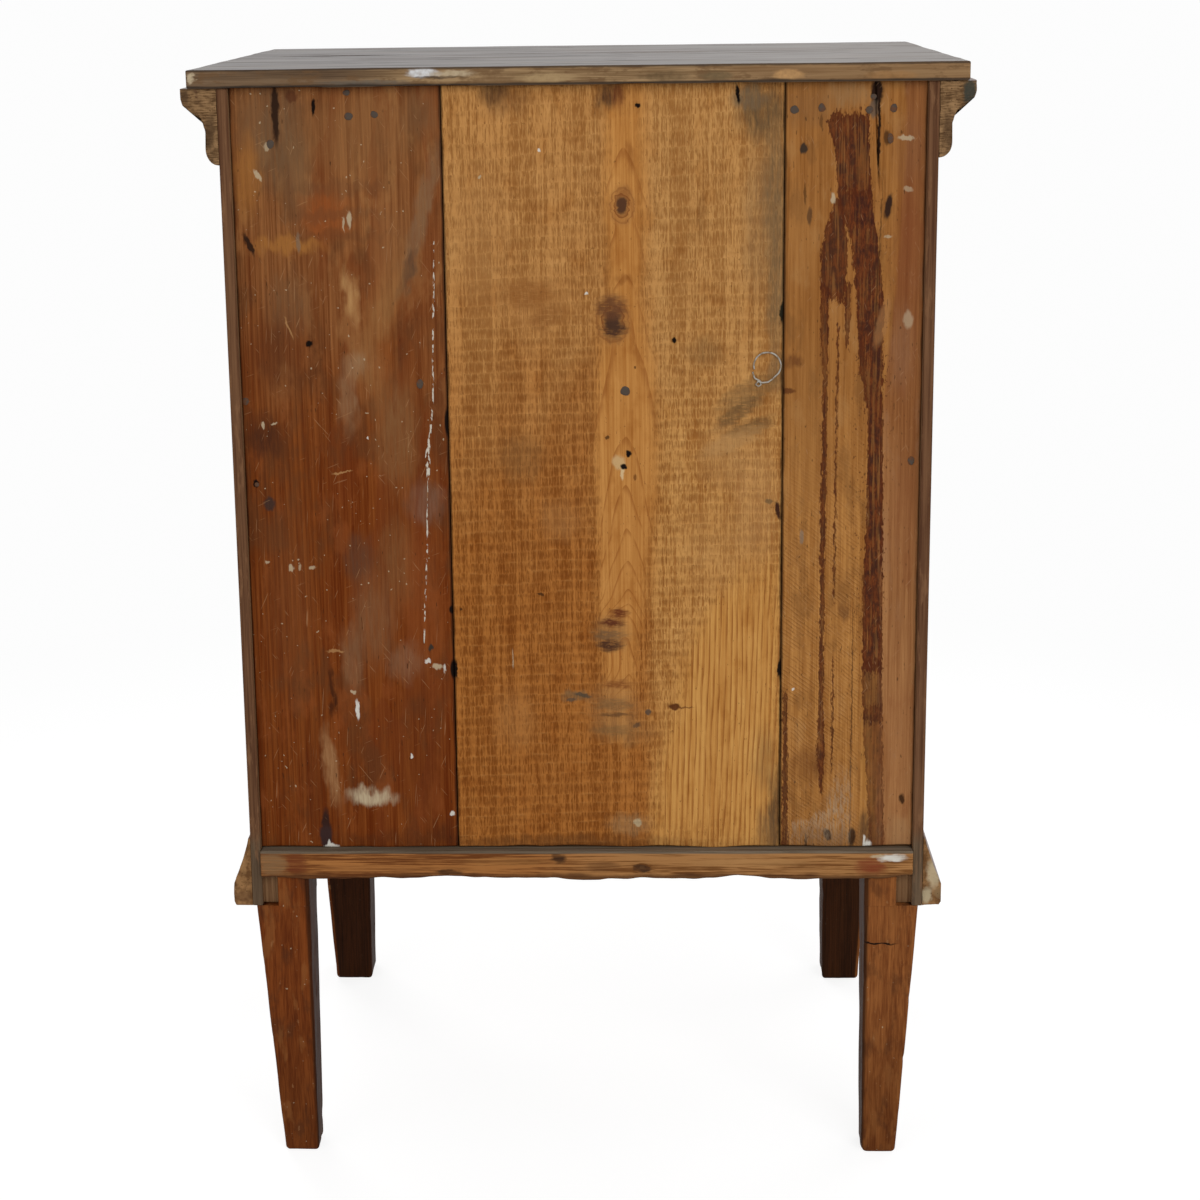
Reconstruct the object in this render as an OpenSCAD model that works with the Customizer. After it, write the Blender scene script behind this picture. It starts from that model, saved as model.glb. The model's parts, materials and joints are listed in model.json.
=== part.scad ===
// Antique bedside cabinet: a drawer over a hinged cupboard door, on four tapered legs.
// Millimetres, +Z up, origin on the floor under the middle of the overall box.
// The front faces -Y; left and right are as seen from the front, so right is +X.

/* [Carcass] */
// Height from the floor to the upper face of the top
total_h = 820; // [780:5:860]
// Width over the side panels
body_w = 496; // [460:2:540]
// Depth from the front of the face frame to the rear edges of the side panels
body_d = 365; // [340:1:400]
// Thickness of the side panels
panel_t = 19; // [16:0.5:22]
// Width of the rebate that takes the back boards, out of the panel thickness
rebate_w = 11.5; // [9:0.5:13]
// Height of the cupboard floor's upper face above the leg shoulders
floor_rise = 44; // [40:1:52]
// Thickness of the bottom board
bottom_t = 21; // [16:1:24]
// Distance that the bottom board stands out behind the side panels
bottom_lip = 3; // [0:0.5:6]
// Set back of the panels' inner edge below the bottom board
low_notch = 6; // [3:1:9]
// Thickness of the partition between drawer and cupboard
partition_t = 14; // [10:1:18]
// Depth of the housings for the partition
housing_d = 6; // [3:0.5:8]
// Height of the rear rail under the top
rear_rail_h = 45; // [30:1:60]
// Thickness of the rear rail
rear_rail_t = 18; // [12:1:24]

/* [Top] */
// Thickness of the top boards
top_t = 13; // [10:0.5:20]
// Overhang of the top at the front and the sides
top_overhang = 20; // [10:1:24]
// Overhang of the top behind the side panels
top_rear_lip = 3; // [0:0.5:6]
// Depth of the rear board of the top
top_rear_board = 225; // [180:1:260]
// Open joint between boards of the top and the back
board_gap = 0.6; // [0.2:0.1:1.2]

/* [Back] */
// Thickness of the back boards
back_t = 12; // [9:0.5:15]
// Set back of the back boards inside the side panels' rear edges
back_inset = 5; // [2:0.5:6]
// Joint between the middle and the right board, from the middle plane
back_joint_right = 94; // [70:1:120]
// Joint between the middle and the left board, from the middle plane
back_joint_left = 143; // [120:1:170]

/* [Face frame] */
// Thickness of the face frame
frame_t = 20; // [16:1:24]
// Width of the face frame's stiles
stile_w = 48; // [42:1:56]
// Height of the top rail
top_rail_h = 62; // [58:1:70]
// Height of the divider rail
divider_h = 20; // [16:1:26]
// Height of the drawer opening
drawer_open_h = 145; // [110:1:160]
// Rise of the sill above the cupboard floor
sill_rise = 10; // [6:1:14]
// Length of the rails' tenons
tenon_l = 22; // [12:1:28]
// Thickness of the rails' tenons
tenon_t = 7; // [5:1:9]
// Shoulder of the tenons above and below
tenon_shoulder = 4; // [2:1:6]

/* [Mouldings] */
// Height of the crown moulding
crown_h = 53; // [48:1:58]
// Projection of the crown moulding
crown_d = 25; // [20:1:30]
// Height of the crown moulding's flat nose
crown_nose = 7; // [4:1:9]
// Projection of the crown moulding's waist
crown_waist = 8; // [6:0.5:10]
// Height of the bead under the crown moulding's cove
crown_bead = 11; // [8:1:13]
// Drop of the base moulding's upper edge below the sill
base_drop = 1; // [0.5:0.5:4]
// Projection of the base moulding
base_d = 14; // [10:1:18]
// Projection of the base moulding's upper edge
base_lip = 1.5; // [1:0.5:3]
// Height of the base moulding's upright foot
base_foot = 17; // [12:1:22]

/* [Legs] */
// Height of the leg shoulders above the floor
leg_h = 206; // [180:1:230]
// Side of a rear leg at the shoulder
rear_leg_w = 40; // [36:1:44]
// Side of a rear leg at the foot
rear_foot_w = 26; // [20:1:32]
// Side of a front leg at the shoulder
front_leg_w = 46; // [42:1:50]
// Side of a front leg at the foot
front_foot_w = 32; // [26:1:38]
// Taper of the legs' inner faces
inner_taper = 2; // [0:0.5:4]
// Set back of the legs' outer faces from the carcass
leg_inset = 2.5; // [1:0.5:4]

/* [Drawer] */
// Running gap round the drawer front
drawer_gap = 1; // [0.5:0.1:1.5]
// Thickness of the drawer front
drawer_front_t = 20; // [16:1:24]
// Thickness of the drawer sides
drawer_side_t = 10; // [8:0.5:13]
// Thickness of the drawer back
drawer_back_t = 10; // [8:0.5:13]
// Thickness of the drawer bottom
drawer_bottom_t = 6; // [4:0.5:8]
// Space between the drawer and the rear rail
drawer_rear_gap = 10; // [5:1:60]
// Height of the drawer bottom above the drawer's lower edges
drawer_bottom_rise = 8; // [7:0.5:12]
// Depth of the groove that holds the drawer bottom
drawer_groove_d = 5; // [3:0.5:6]
// Drop of the drawer sides below the drawer front's upper edge
drawer_side_drop = 6; // [2:1:12]
// Drop of the drawer back below the drawer sides
drawer_back_drop = 8; // [0:1:15]
// Number of dovetails at each corner
tail_n = 4; // [2:1:5]
// Length of the lapped dovetails
tail_l = 13; // [8:1:14]
// Wood left between two dovetails at their wide ends
tail_gap = 13; // [6:0.5:15]
// Slope of a dovetail's flanks, across its length
tail_slope = 2; // [1:0.5:3]
// Section of the guides beside the drawer
guide_h = 18; // [10:1:30]
// Thickness of the kickers above the drawer
kicker_t = 14; // [10:1:18]
// Reach of the kickers over the drawer opening
kicker_reach = 15; // [8:1:30]
// Length of a drawer stop along the front
stop_w = 40; // [20:1:60]
// Size of a drawer stop from front to rear
stop_d = 14; // [10:1:20]
// Height of the drawer stops
stop_h = 6; // [4:0.5:7]
// Diameter of the drawer knob
knob_dia = 22; // [16:1:30]
// Length of the drawer knob in front of the drawer
knob_l = 24; // [18:1:25]
// Diameter of the knob's tenon
knob_tenon_dia = 8; // [6:0.5:10]
// Play of the knob's tenon in its hole, on the radius
knob_play = 0.05; // [0.02:0.01:0.1]

/* [Door] */
// Running gap round the door
door_gap = 1; // [0.6:0.1:1.4]
// Thickness of the door frame
door_t = 20; // [18:1:22]
// Width of the door's stiles
door_stile_w = 62; // [54:1:75]
// Height of the door's upper rail
door_rail_top_h = 58; // [45:1:75]
// Height of the door's lower rail
door_rail_low_h = 66; // [50:1:85]
// Thickness of the door panel
door_panel_t = 8; // [6:0.5:8]
// Depth of the groove that holds the door panel
door_groove_d = 8; // [6:1:12]
// Play of the door panel in its grooves
door_panel_play = 0.5; // [0.2:0.1:1]
// Width of the fielding round the door panel
fielding_w = 24; // [14:1:34]
// Thickness of the fielding's outer edge
fielding_edge_t = 5; // [3:0.5:5.5]
// Height of the strip that stops the door
door_stop_h = 14; // [8:1:20]
// Thickness of the strip that stops the door
door_stop_t = 12; // [8:1:20]
// Gap left in front of the door stop and the drawer stops
stop_gap = 0.3; // [0.2:0.1:1]

/* [Hinges] */
// Height of a hinge
hinge_h = 54; // [40:1:70]
// Width of a hinge leaf in the wood
hinge_leaf_w = 15; // [10:1:17]
// Thickness of a hinge leaf
hinge_leaf_t = 1.5; // [1:0.1:2]
// Radius of a hinge knuckle
knuckle_r = 3; // [2.5:0.1:3.5]
// Radius of a hinge pin
pin_r = 1.4; // [1:0.1:1.6]
// Play between pin and knuckle, on the radius
pin_play = 0.06; // [0.04:0.01:0.09]
// Set in of the hinges from the door's upper and lower edges
hinge_set_in = 36; // [20:1:60]
// Radius of the hinge screws' heads
screw_head_r = 2.6; // [2:0.1:3]
// Length of the hinge screws
screw_l = 13; // [8:1:16]

/* [Lock] */
// Height of the keyhole above the middle of the door
lock_rise = 13; // [-20:1:30]
// Distance of the keyhole from the door's free edge
backset = 30; // [26:1:36]
// Width of the lock case, from the door's edge inwards
lock_w = 50; // [46:1:52]
// Depth of the lock case
lock_d = 10; // [9:0.5:11]
// Thickness of the lock plates
lock_plate_t = 1.2; // [0.8:0.1:1.5]
// Height of the bolt
bolt_h = 11; // [8:0.5:12]
// Thickness of the bolt
bolt_t = 4; // [3:0.5:5]
// Throw of the bolt in one turn of the key
bolt_throw = 9; // [6:0.5:10]
// Play round the bolt
bolt_play = 0.4; // [0.3:0.1:0.6]
// Play between the key's bit and the bolt
bit_play = 0.5; // [0.4:0.1:0.8]
// Space behind the bolt and above it in the case
lock_space = 0.9; // [0.5:0.1:3]
// Radius of the key's shank
key_r = 2; // [1.5:0.1:2.5]
// Length of the key's bit, from the axis
bit_l = 8; // [6:0.5:9]
// Thickness of the key's bit
bit_t = 2; // [1.5:0.1:2.5]
// Radius of the ring of the key's bow
bow_r = 7; // [5:0.5:8]
// Radius of the wire of the key's bow
bow_wire_r = 1.6; // [1.2:0.1:2]
// Height of the escutcheon plate
escutcheon_h = 40; // [34:1:50]
// Width of the escutcheon plate
escutcheon_w = 20; // [16:1:24]
// Thickness of the escutcheon plate
escutcheon_t = 1.2; // [0.8:0.1:1.6]

/* [Back nails and wire] */
// Radius of the nail heads
nail_r = 2.4; // [1.5:0.1:3]
// Length of the nails
nail_l = 24; // [18:1:28]
// Radius of the nails' shanks
nail_shank_r = 1; // [0.8:0.1:1.3]
// Radius of the wire
wire_r = 0.5; // [0.4:0.05:0.8]
// Radius of the loop in the wire
loop_r = 9.5; // [7:0.5:12]
// Distance of the loop's middle from the left joint of the back
wire_aside = 11; // [10:0.5:40]
// Height of the loop's middle above the partition
wire_rise = 10; // [0:1:60]

/* [Hidden] */
$fn = 48;
eps = 0.01;
smooth_steps = 14;

front_reach = max(top_overhang, crown_d, knob_l);
rear_reach = max(top_rear_lip, bottom_lip);
front_y = front_reach - (body_d + front_reach + rear_reach) / 2;
back_y = front_y + body_d;
half_w = body_w / 2;
panel_in = half_w - panel_t;
rebate_x = panel_in + rebate_w;
case_y = front_y + frame_t;
board_rear_y = back_y - back_inset;
board_front_y = board_rear_y - back_t;

under_top = total_h - top_t;
floor_z = leg_h + floor_rise;
floor_under = floor_z - bottom_t;
sill_z = floor_z + sill_rise;
base_h = floor_rise + sill_rise - base_drop;
drawer_top_z = under_top - top_rail_h;
part_z = drawer_top_z - drawer_open_h;
part_under = part_z - partition_t;
door_top_z = part_z - divider_h;
open_x = half_w - stile_w;

top_rear_y = back_y + top_rear_lip;
top_front_y = front_y - top_overhang;
top_joint_y = top_rear_y - top_rear_board;

drawer_half = open_x - drawer_gap;
drawer_front_low = part_z + drawer_gap;
drawer_front_high = drawer_top_z - drawer_gap;
drawer_side_top = drawer_front_high - drawer_side_drop;
drawer_back_top = drawer_side_top - drawer_back_drop;
drawer_floor_z = part_z + drawer_bottom_rise;
drawer_rear_y = board_front_y - rear_rail_t - drawer_rear_gap;
tail_pitch = (drawer_side_top - drawer_front_low) / tail_n;
tail_w = tail_pitch - tail_gap;

door_half = open_x - door_gap;
door_low = sill_z + door_gap;
door_high = door_top_z - door_gap;
door_rear_y = front_y + door_t;
panel_low = door_low + door_rail_low_h;
panel_high = door_high - door_rail_top_h;
panel_half = door_half - door_stile_w;
panel_y = front_y + door_t / 2;

hinge_x = -open_x + door_gap / 2;
knuckle_gap = 0.3;
hinge_y = front_y - knuckle_r - knuckle_gap;
hinge_low_z = door_low + hinge_set_in;
hinge_high_z = door_high - hinge_set_in - hinge_h;
knuckle_l = (hinge_h - 2 * knuckle_gap) / 3;

key_x = door_half - backset;
key_z = (door_low + door_high) / 2 + lock_rise;
lock_y = door_rear_y - lock_d;
bolt_y = lock_y + lock_d / 2;
bolt_z = key_z + bit_l + bit_play;
lock_h = 2 * (bit_l + bit_play + bolt_h + bolt_play + lock_plate_t + lock_space);
lock_x = door_half - lock_w;
bolt_in_x = lock_x + lock_plate_t + 4 * lock_space;
keyhole_play = 0.6;

// Colours of the finishes
stained = [0.42, 0.21, 0.10];
honey = [0.72, 0.47, 0.20];
streaked = [0.58, 0.36, 0.18];
dark_top = [0.33, 0.27, 0.24];
walnut = [0.40, 0.23, 0.12];
raw_wood = [0.66, 0.48, 0.28];
leg_wood = [0.47, 0.24, 0.11];
brass = [0.70, 0.56, 0.27];
iron = [0.26, 0.24, 0.23];

// A box from its lowest to its highest corner
module span(low, high) {
  translate(low) cube(high - low);
}

// A copy on the left or on the right side
module on_side(side) {
  if (side > 0) children();
  else mirror([1, 0, 0]) children();
}

// Top

module top_board(y_low, y_high) {
  half = half_w + top_overhang;
  span([-half, y_low, under_top], [half, y_high, total_h]);
}

module top_rear_board() {
  color(dark_top) top_board(top_joint_y + board_gap / 2, top_rear_y);
}

module top_front_board() {
  color(dark_top) top_board(top_front_y, top_joint_y - board_gap / 2);
}

// Carcass

module side_panel(side) {
  color(walnut) on_side(side) difference() {
    span([panel_in, case_y, leg_h], [half_w, back_y, under_top]);
    span([panel_in - eps, board_front_y, floor_z - eps], [rebate_x, back_y + eps, under_top + eps]);
    span([panel_in - eps, case_y - eps, floor_under], [rebate_x, back_y + eps, floor_z]);
    span([panel_in - eps, back_y - low_notch, leg_h - eps], [rebate_x, back_y + eps, floor_under + eps]);
    span([panel_in - eps, case_y - eps, part_under], [panel_in + housing_d, board_front_y + eps, part_z]);
  }
}

module back_board(x_low, x_high) {
  span([x_low, board_front_y, floor_z], [x_high, board_rear_y, under_top]);
}

module back_board_left() {
  color(streaked) back_board(-rebate_x, -back_joint_left - board_gap / 2);
}

module back_board_middle() {
  color(honey) back_board(-back_joint_left + board_gap / 2, back_joint_right - board_gap / 2);
}

module back_board_right() {
  color(stained) back_board(back_joint_right + board_gap / 2, rebate_x);
}

module bottom_board() {
  color(raw_wood)
    span([-rebate_x, case_y, floor_under], [rebate_x, back_y + bottom_lip, floor_z]);
}

module partition_board() {
  reach = panel_in + housing_d;
  color(raw_wood) span([-reach, case_y, part_under], [reach, board_front_y, part_z]);
}

module rear_rail() {
  color(raw_wood)
    span([-panel_in, board_front_y - rear_rail_t, under_top - rear_rail_h],
         [panel_in, board_front_y, under_top]);
}

// Face frame: rails with tenons between two stiles

module rail_tenon(z_low, z_high) {
  middle_y = front_y + frame_t / 2;
  span([open_x - eps, middle_y - tenon_t / 2, z_low + tenon_shoulder],
       [open_x + tenon_l, middle_y + tenon_t / 2, z_high - tenon_shoulder]);
}

module frame_rail(z_low, z_high) {
  color(walnut) {
    span([-open_x, front_y, z_low], [open_x, case_y, z_high]);
    for (side = [-1, 1]) on_side(side) rail_tenon(z_low, z_high);
  }
}

module top_rail() {
  frame_rail(drawer_top_z, under_top);
}

module divider_rail() {
  frame_rail(door_top_z, part_z);
}

module sill_rail() {
  frame_rail(leg_h, sill_z);
}

module stile(side) {
  color(walnut) on_side(side) difference() {
    span([open_x, front_y, leg_h], [half_w, case_y, under_top]);
    rail_tenon(drawer_top_z, under_top);
    rail_tenon(door_top_z, part_z);
    rail_tenon(leg_h, sill_z);
    if (side > 0) bolt_mortise();
    else for (z = [hinge_low_z, hinge_high_z]) mirror([1, 0, 0]) {
      leaf_plate(z, -1);
      for (k = [-1, 1]) screw_at(z, k, -1);
    }
  }
}

// Mouldings. A profile is drawn as projection and height, then run along the carcass.

// The crown has a flat nose, an elliptical cove and a round bead.
module crown_profile() {
  cove_top = -crown_nose - 4;
  cove_low = -crown_h + crown_bead + 6;
  cove_out = crown_d - 1;
  steps = smooth_steps;
  polygon(concat(
    [[0, 0], [crown_d, 0], [crown_d, -crown_nose]],
    [for (i = [0:steps]) let (a = 90 - 90 * i / steps)
      [cove_out - (cove_out - crown_waist) * cos(a), cove_low + (cove_top - cove_low) * sin(a)]],
    [[crown_waist, -crown_h + crown_bead]],
    [for (i = [0:steps]) let (a = 90 * i / steps)
      [0.5 + (crown_waist + 0.5) * cos(a), -crown_h + crown_bead * (1 - sin(a))]],
    [[0, -crown_h]]
  ));
}

// The base flares down to an upright foot with a worn lower corner.
module base_profile() {
  flare = base_h - base_foot;
  steps = smooth_steps;
  polygon(concat(
    [[0, 0]],
    [for (i = [0:steps]) let (u = i / steps)
      [base_lip + (base_d - base_lip) * pow(u, 1.2), -flare * u]],
    [[base_d, -base_h + 3], [base_d - 1.5, -base_h], [0, -base_h]]
  ));
}

// A moulding along the right side, from the mitre at the front to the rear edge
module side_run(reach, z) {
  difference() {
    translate([half_w, back_y, z]) rotate([90, 0, 0]) linear_extrude(body_d + reach) children();
    translate([half_w, front_y, 0]) rotate(-45) translate([-2 * body_d, -2 * body_d, 0])
      cube([4 * body_d, 2 * body_d, total_h]);
  }
}

// A moulding along the front, mitred at both ends
module front_run(reach, z) {
  half = half_w + reach;
  difference() {
    translate([-half, front_y, z]) rotate([90, 0, 90])
      linear_extrude(2 * half) mirror([1, 0]) children();
    for (side = [-1, 1]) on_side(side) translate([half_w, front_y, 0]) rotate(-45)
      translate([-2 * body_d, 0, 0]) cube([4 * body_d, 2 * body_d, total_h]);
  }
}

module crown_moulding_front() {
  color(walnut) front_run(crown_d, under_top) crown_profile();
}

module crown_moulding(side) {
  color(walnut) on_side(side) side_run(crown_d, under_top) crown_profile();
}

module base_moulding_front() {
  color(walnut) front_run(base_d, leg_h + base_h) base_profile();
}

module base_moulding(side) {
  color(walnut) on_side(side) side_run(base_d, leg_h + base_h) base_profile();
}

// Legs. The outer faces carry most of the taper; the upper part stands inside the carcass.

// One face of a leg, from its inner to its outer side, with a shoulder under the carcass
module leg_face(inner, outer, shoulder, foot_w) {
  polygon([
    [inner + inner_taper, 0], [inner + inner_taper + foot_w, 0], [outer, leg_h],
    [shoulder, leg_h], [shoulder, floor_under], [inner, floor_under], [inner, leg_h]
  ]);
}

// The right-hand leg of a pair. The rear face or the front face is the outer one.
module leg(w, foot_w, outer_y, stand_y, way) {
  outer_x = half_w - leg_inset;
  inner_x = outer_x - w;
  far = 4 * w;
  intersection() {
    translate([0, outer_y + far, 0]) rotate([90, 0, 0]) linear_extrude(2 * far)
      leg_face(inner_x, outer_x, panel_in, foot_w);
    translate([inner_x - far, outer_y, 0]) mirror([0, way > 0 ? 0 : 1, 0])
      rotate([90, 0, 90]) linear_extrude(3 * far)
        leg_face(-w, 0, stand_y, foot_w);
  }
}

module rear_leg(side) {
  color(leg_wood) on_side(side) leg(rear_leg_w, rear_foot_w, back_y, 0, 1);
}

module front_leg(side) {
  set_back = frame_t - leg_inset;
  color(leg_wood) on_side(side) leg(front_leg_w, front_foot_w, front_y + leg_inset, -set_back, -1);
}

// Drawer ways

module drawer_guide(side) {
  color(raw_wood) on_side(side)
    span([open_x, case_y, part_z], [panel_in, board_front_y, part_z + guide_h]);
}

module kicker(side) {
  color(raw_wood) on_side(side)
    span([open_x - kicker_reach, case_y, drawer_top_z],
         [panel_in, board_front_y - rear_rail_t, drawer_top_z + kicker_t]);
}

module drawer_stops() {
  stop_y = front_y + drawer_front_t + stop_gap;
  color(raw_wood) for (side = [-1, 1])
    translate([side * open_x / 2 - stop_w / 2, stop_y, part_z]) cube([stop_w, stop_d, stop_h]);
}

// Drawer: lapped dovetails at the front, through dovetails at the back

// The dovetails of one side, as an outline across its thickness and along the drawer
module tails(length) {
  for (i = [0:tail_n - 1]) {
    middle = drawer_front_low + tail_pitch * (i + 0.5);
    polygon([
      [-eps, middle - tail_w / 2 + tail_slope], [-eps, middle + tail_w / 2 - tail_slope],
      [length, middle + tail_w / 2], [length, middle - tail_w / 2]
    ]);
  }
}

module front_tails() {
  start = front_y + drawer_front_t;
  translate([drawer_half - drawer_side_t, start, 0]) rotate([90, 0, 90])
    linear_extrude(drawer_side_t) mirror([1, 0]) tails(tail_l);
}

module back_tails() {
  start = drawer_rear_y - drawer_back_t;
  translate([drawer_half - drawer_side_t, start, 0]) rotate([90, 0, 90])
    linear_extrude(drawer_side_t) intersection() {
      tails(drawer_back_t);
      translate([-1, drawer_floor_z]) square([drawer_back_t + 2, drawer_back_top - drawer_floor_z]);
    }
}

module drawer_groove() {
  inner = drawer_half - drawer_side_t;
  span([-inner - drawer_groove_d, front_y + drawer_front_t - drawer_groove_d, drawer_floor_z],
       [inner + drawer_groove_d, drawer_rear_y + eps, drawer_floor_z + drawer_bottom_t]);
}

module drawer_side(side) {
  inner = drawer_half - drawer_side_t;
  color(raw_wood) on_side(side) difference() {
    union() {
      span([inner, front_y + drawer_front_t, part_z],
           [drawer_half, drawer_rear_y - drawer_back_t, drawer_side_top]);
      front_tails();
      back_tails();
    }
    drawer_groove();
  }
}

module drawer_front() {
  color(walnut) difference() {
    span([-drawer_half, front_y, drawer_front_low],
         [drawer_half, front_y + drawer_front_t, drawer_front_high]);
    for (side = [-1, 1]) on_side(side) front_tails();
    drawer_groove();
    translate([0, front_y - eps, (drawer_front_low + drawer_front_high) / 2]) rotate([-90, 0, 0])
      cylinder(r = knob_tenon_dia / 2 + knob_play, h = drawer_front_t + 2 * eps);
  }
}

module drawer_back() {
  color(raw_wood) difference() {
    span([-drawer_half, drawer_rear_y - drawer_back_t, drawer_floor_z + drawer_bottom_t],
         [drawer_half, drawer_rear_y, drawer_back_top]);
    for (side = [-1, 1]) on_side(side) back_tails();
  }
}

module drawer_bottom() {
  play = 0.3;
  reach = drawer_half - drawer_side_t + drawer_groove_d - play;
  color(raw_wood)
    span([-reach, front_y + drawer_front_t - drawer_groove_d + play, drawer_floor_z],
         [reach, drawer_rear_y, drawer_floor_z + drawer_bottom_t]);
}

// Turned knob, drawn along its axis from the tenon's end to the crown
module drawer_knob() {
  r = knob_dia / 2;
  neck = 0.45 * r;
  color(walnut)
    translate([0, front_y + drawer_front_t, (drawer_front_low + drawer_front_high) / 2])
      rotate([90, 0, 0]) rotate_extrude()
        polygon(concat(
          [[0, 0], [knob_tenon_dia / 2, 0], [knob_tenon_dia / 2, drawer_front_t]],
          [[0.75 * r, drawer_front_t], [0.75 * r, drawer_front_t + 2], [neck, drawer_front_t + 4]],
          [[neck, drawer_front_t + knob_l - 1.1 * r]],
          [for (i = [0:smooth_steps]) let (a = -50 + 140 * i / smooth_steps)
            [r * cos(a), drawer_front_t + knob_l - 0.6 * r + 0.6 * r * sin(a)]]
        ));
}

// Door: frame and fielded panel

module door_tenon(side, z_low, z_high) {
  on_side(side)
    span([panel_half - eps, panel_y - tenon_t / 2, z_low + door_groove_d],
         [panel_half + tenon_l, panel_y + tenon_t / 2, z_high - door_groove_d]);
}

// The groove all round the inside of the door frame
module door_groove() {
  span([-panel_half - door_groove_d, panel_y - fielding_edge_t / 2, panel_low - door_groove_d],
       [panel_half + door_groove_d, panel_y + fielding_edge_t / 2, panel_high + door_groove_d]);
}

module door_stile(side) {
  difference() {
    on_side(side) span([panel_half, front_y, door_low], [door_half, door_rear_y, door_high]);
    door_groove();
    door_tenon(side, door_low, panel_low);
    door_tenon(side, panel_high, door_high);
    children();
  }
}

module door_stile_hinge() {
  color(walnut) door_stile(-1) for (z = [hinge_low_z, hinge_high_z]) {
    leaf_plate(z, 1);
    for (k = [-1, 1]) screw_at(z, k, 1);
  }
}

module door_stile_lock() {
  color(walnut) door_stile(1) {
    span([lock_x, lock_y, key_z - lock_h / 2],
         [door_half + eps, door_rear_y + eps, key_z + lock_h / 2]);
    keyhole(front_y - eps, lock_y + eps, keyhole_play);
  }
}

module door_rail(z_low, z_high) {
  color(walnut) difference() {
    union() {
      span([-panel_half, front_y, z_low], [panel_half, door_rear_y, z_high]);
      for (side = [-1, 1]) door_tenon(side, z_low, z_high);
    }
    door_groove();
  }
}

module door_rail_top() {
  door_rail(panel_high, door_high);
}

module door_rail_low() {
  door_rail(door_low, panel_low);
}

// The panel's field stands full thickness; its margin slopes down to a thin edge.
module door_panel() {
  reach = door_groove_d - door_panel_play;
  half = panel_half + reach;
  low = panel_low - reach;
  high = panel_high + reach;
  thin = fielding_edge_t - 0.4;
  slope = door_groove_d + fielding_w;
  rear = panel_y + thin / 2;
  color(walnut) intersection() {
    translate([-half, 0, 0]) rotate([90, 0, 90]) linear_extrude(2 * half) polygon([
      [rear, low], [rear - thin, low], [rear - thin, low + reach],
      [rear - door_panel_t, low + slope], [rear - door_panel_t, high - slope],
      [rear - thin, high - reach], [rear - thin, high], [rear, high]
    ]);
    translate([0, 0, low]) linear_extrude(high - low) polygon([
      [-half, rear], [-half, rear - thin], [-half + reach, rear - thin],
      [-half + slope, rear - door_panel_t], [half - slope, rear - door_panel_t],
      [half - reach, rear - thin], [half, rear - thin], [half, rear]
    ]);
  }
}

module door_stop() {
  low = [-open_x / 2, door_rear_y + stop_gap, part_under - door_stop_h];
  color(raw_wood) span(low, [open_x / 2, low[1] + door_stop_t, part_under]);
}

// Butt hinges. Way -1 is the leaf on the face frame, 1 is the leaf on the door.

module leaf_plate(z, way) {
  near = hinge_x + way * door_gap / 2;
  far = near + way * hinge_leaf_t;
  span([min(near, far), hinge_y, z], [max(near, far), front_y + hinge_leaf_w, z + hinge_h]);
}

module knuckle(z) {
  translate([hinge_x, hinge_y, z]) cylinder(r = knuckle_r, h = knuckle_l);
}

// Heights of the knuckles above the hinge's lower end
outer_knuckles = [0, 2 * (knuckle_l + knuckle_gap)];
inner_knuckle = knuckle_l + knuckle_gap;

module hinge_leaf(z, way) {
  bore_r = pin_r + pin_play;
  clear_r = knuckle_r + knuckle_gap;
  own = way < 0 ? outer_knuckles : [inner_knuckle];
  other = way < 0 ? [inner_knuckle] : outer_knuckles;
  difference() {
    union() {
      leaf_plate(z, way);
      for (h = own) knuckle(z + h);
    }
    for (h = other) translate([hinge_x, hinge_y, z + h - knuckle_gap])
      cylinder(r = clear_r, h = knuckle_l + 2 * knuckle_gap);
    translate([hinge_x, hinge_y, z - 1]) cylinder(r = bore_r, h = hinge_h + 2);
    for (k = [-1, 1]) screw_at(z, k, way);
  }
}

module hinge_leaves_frame() {
  color(brass) for (z = [hinge_low_z, hinge_high_z]) hinge_leaf(z, -1);
}

module hinge_leaves_door() {
  color(brass) for (z = [hinge_low_z, hinge_high_z]) hinge_leaf(z, 1);
}

// A pin with a low head at each end
module hinge_pins() {
  head_h = 1.5;
  color(brass) for (z = [hinge_low_z, hinge_high_z]) translate([hinge_x, hinge_y, z]) {
    cylinder(r = pin_r, h = hinge_h);
    for (end = [-head_h, hinge_h]) translate([0, 0, end]) cylinder(r = 0.8 * knuckle_r, h = head_h);
  }
}

// A countersunk screw across a leaf: k picks the upper or the lower one
module screw_at(z, k, way) {
  middle_z = z + hinge_h / 2 + k * hinge_h / 3.2;
  face_x = hinge_x + way * door_gap / 2;
  translate([face_x, front_y + 0.55 * hinge_leaf_w, middle_z]) rotate([0, way * 90, 0]) {
    cylinder(r1 = screw_head_r, r2 = screw_head_r / 2, h = hinge_leaf_t);
    cylinder(r = screw_head_r / 2, h = screw_l);
  }
}

module hinge_screws(way) {
  color(iron) for (z = [hinge_low_z, hinge_high_z]) for (k = [-1, 1]) screw_at(z, k, way);
}

module hinge_screws_frame() {
  hinge_screws(-1);
}

module hinge_screws_door() {
  hinge_screws(1);
}

// Lock, key and escutcheon

// A keyhole from one depth to another: a round hole with a slot below
module keyhole(y_low, y_high, play) {
  translate([key_x, y_low, key_z]) rotate([-90, 0, 0]) cylinder(r = key_r + play, h = y_high - y_low);
  span([key_x - bit_t / 2 - play, y_low, key_z - bit_l - play],
       [key_x + bit_t / 2 + play, y_high, key_z]);
}

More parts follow.
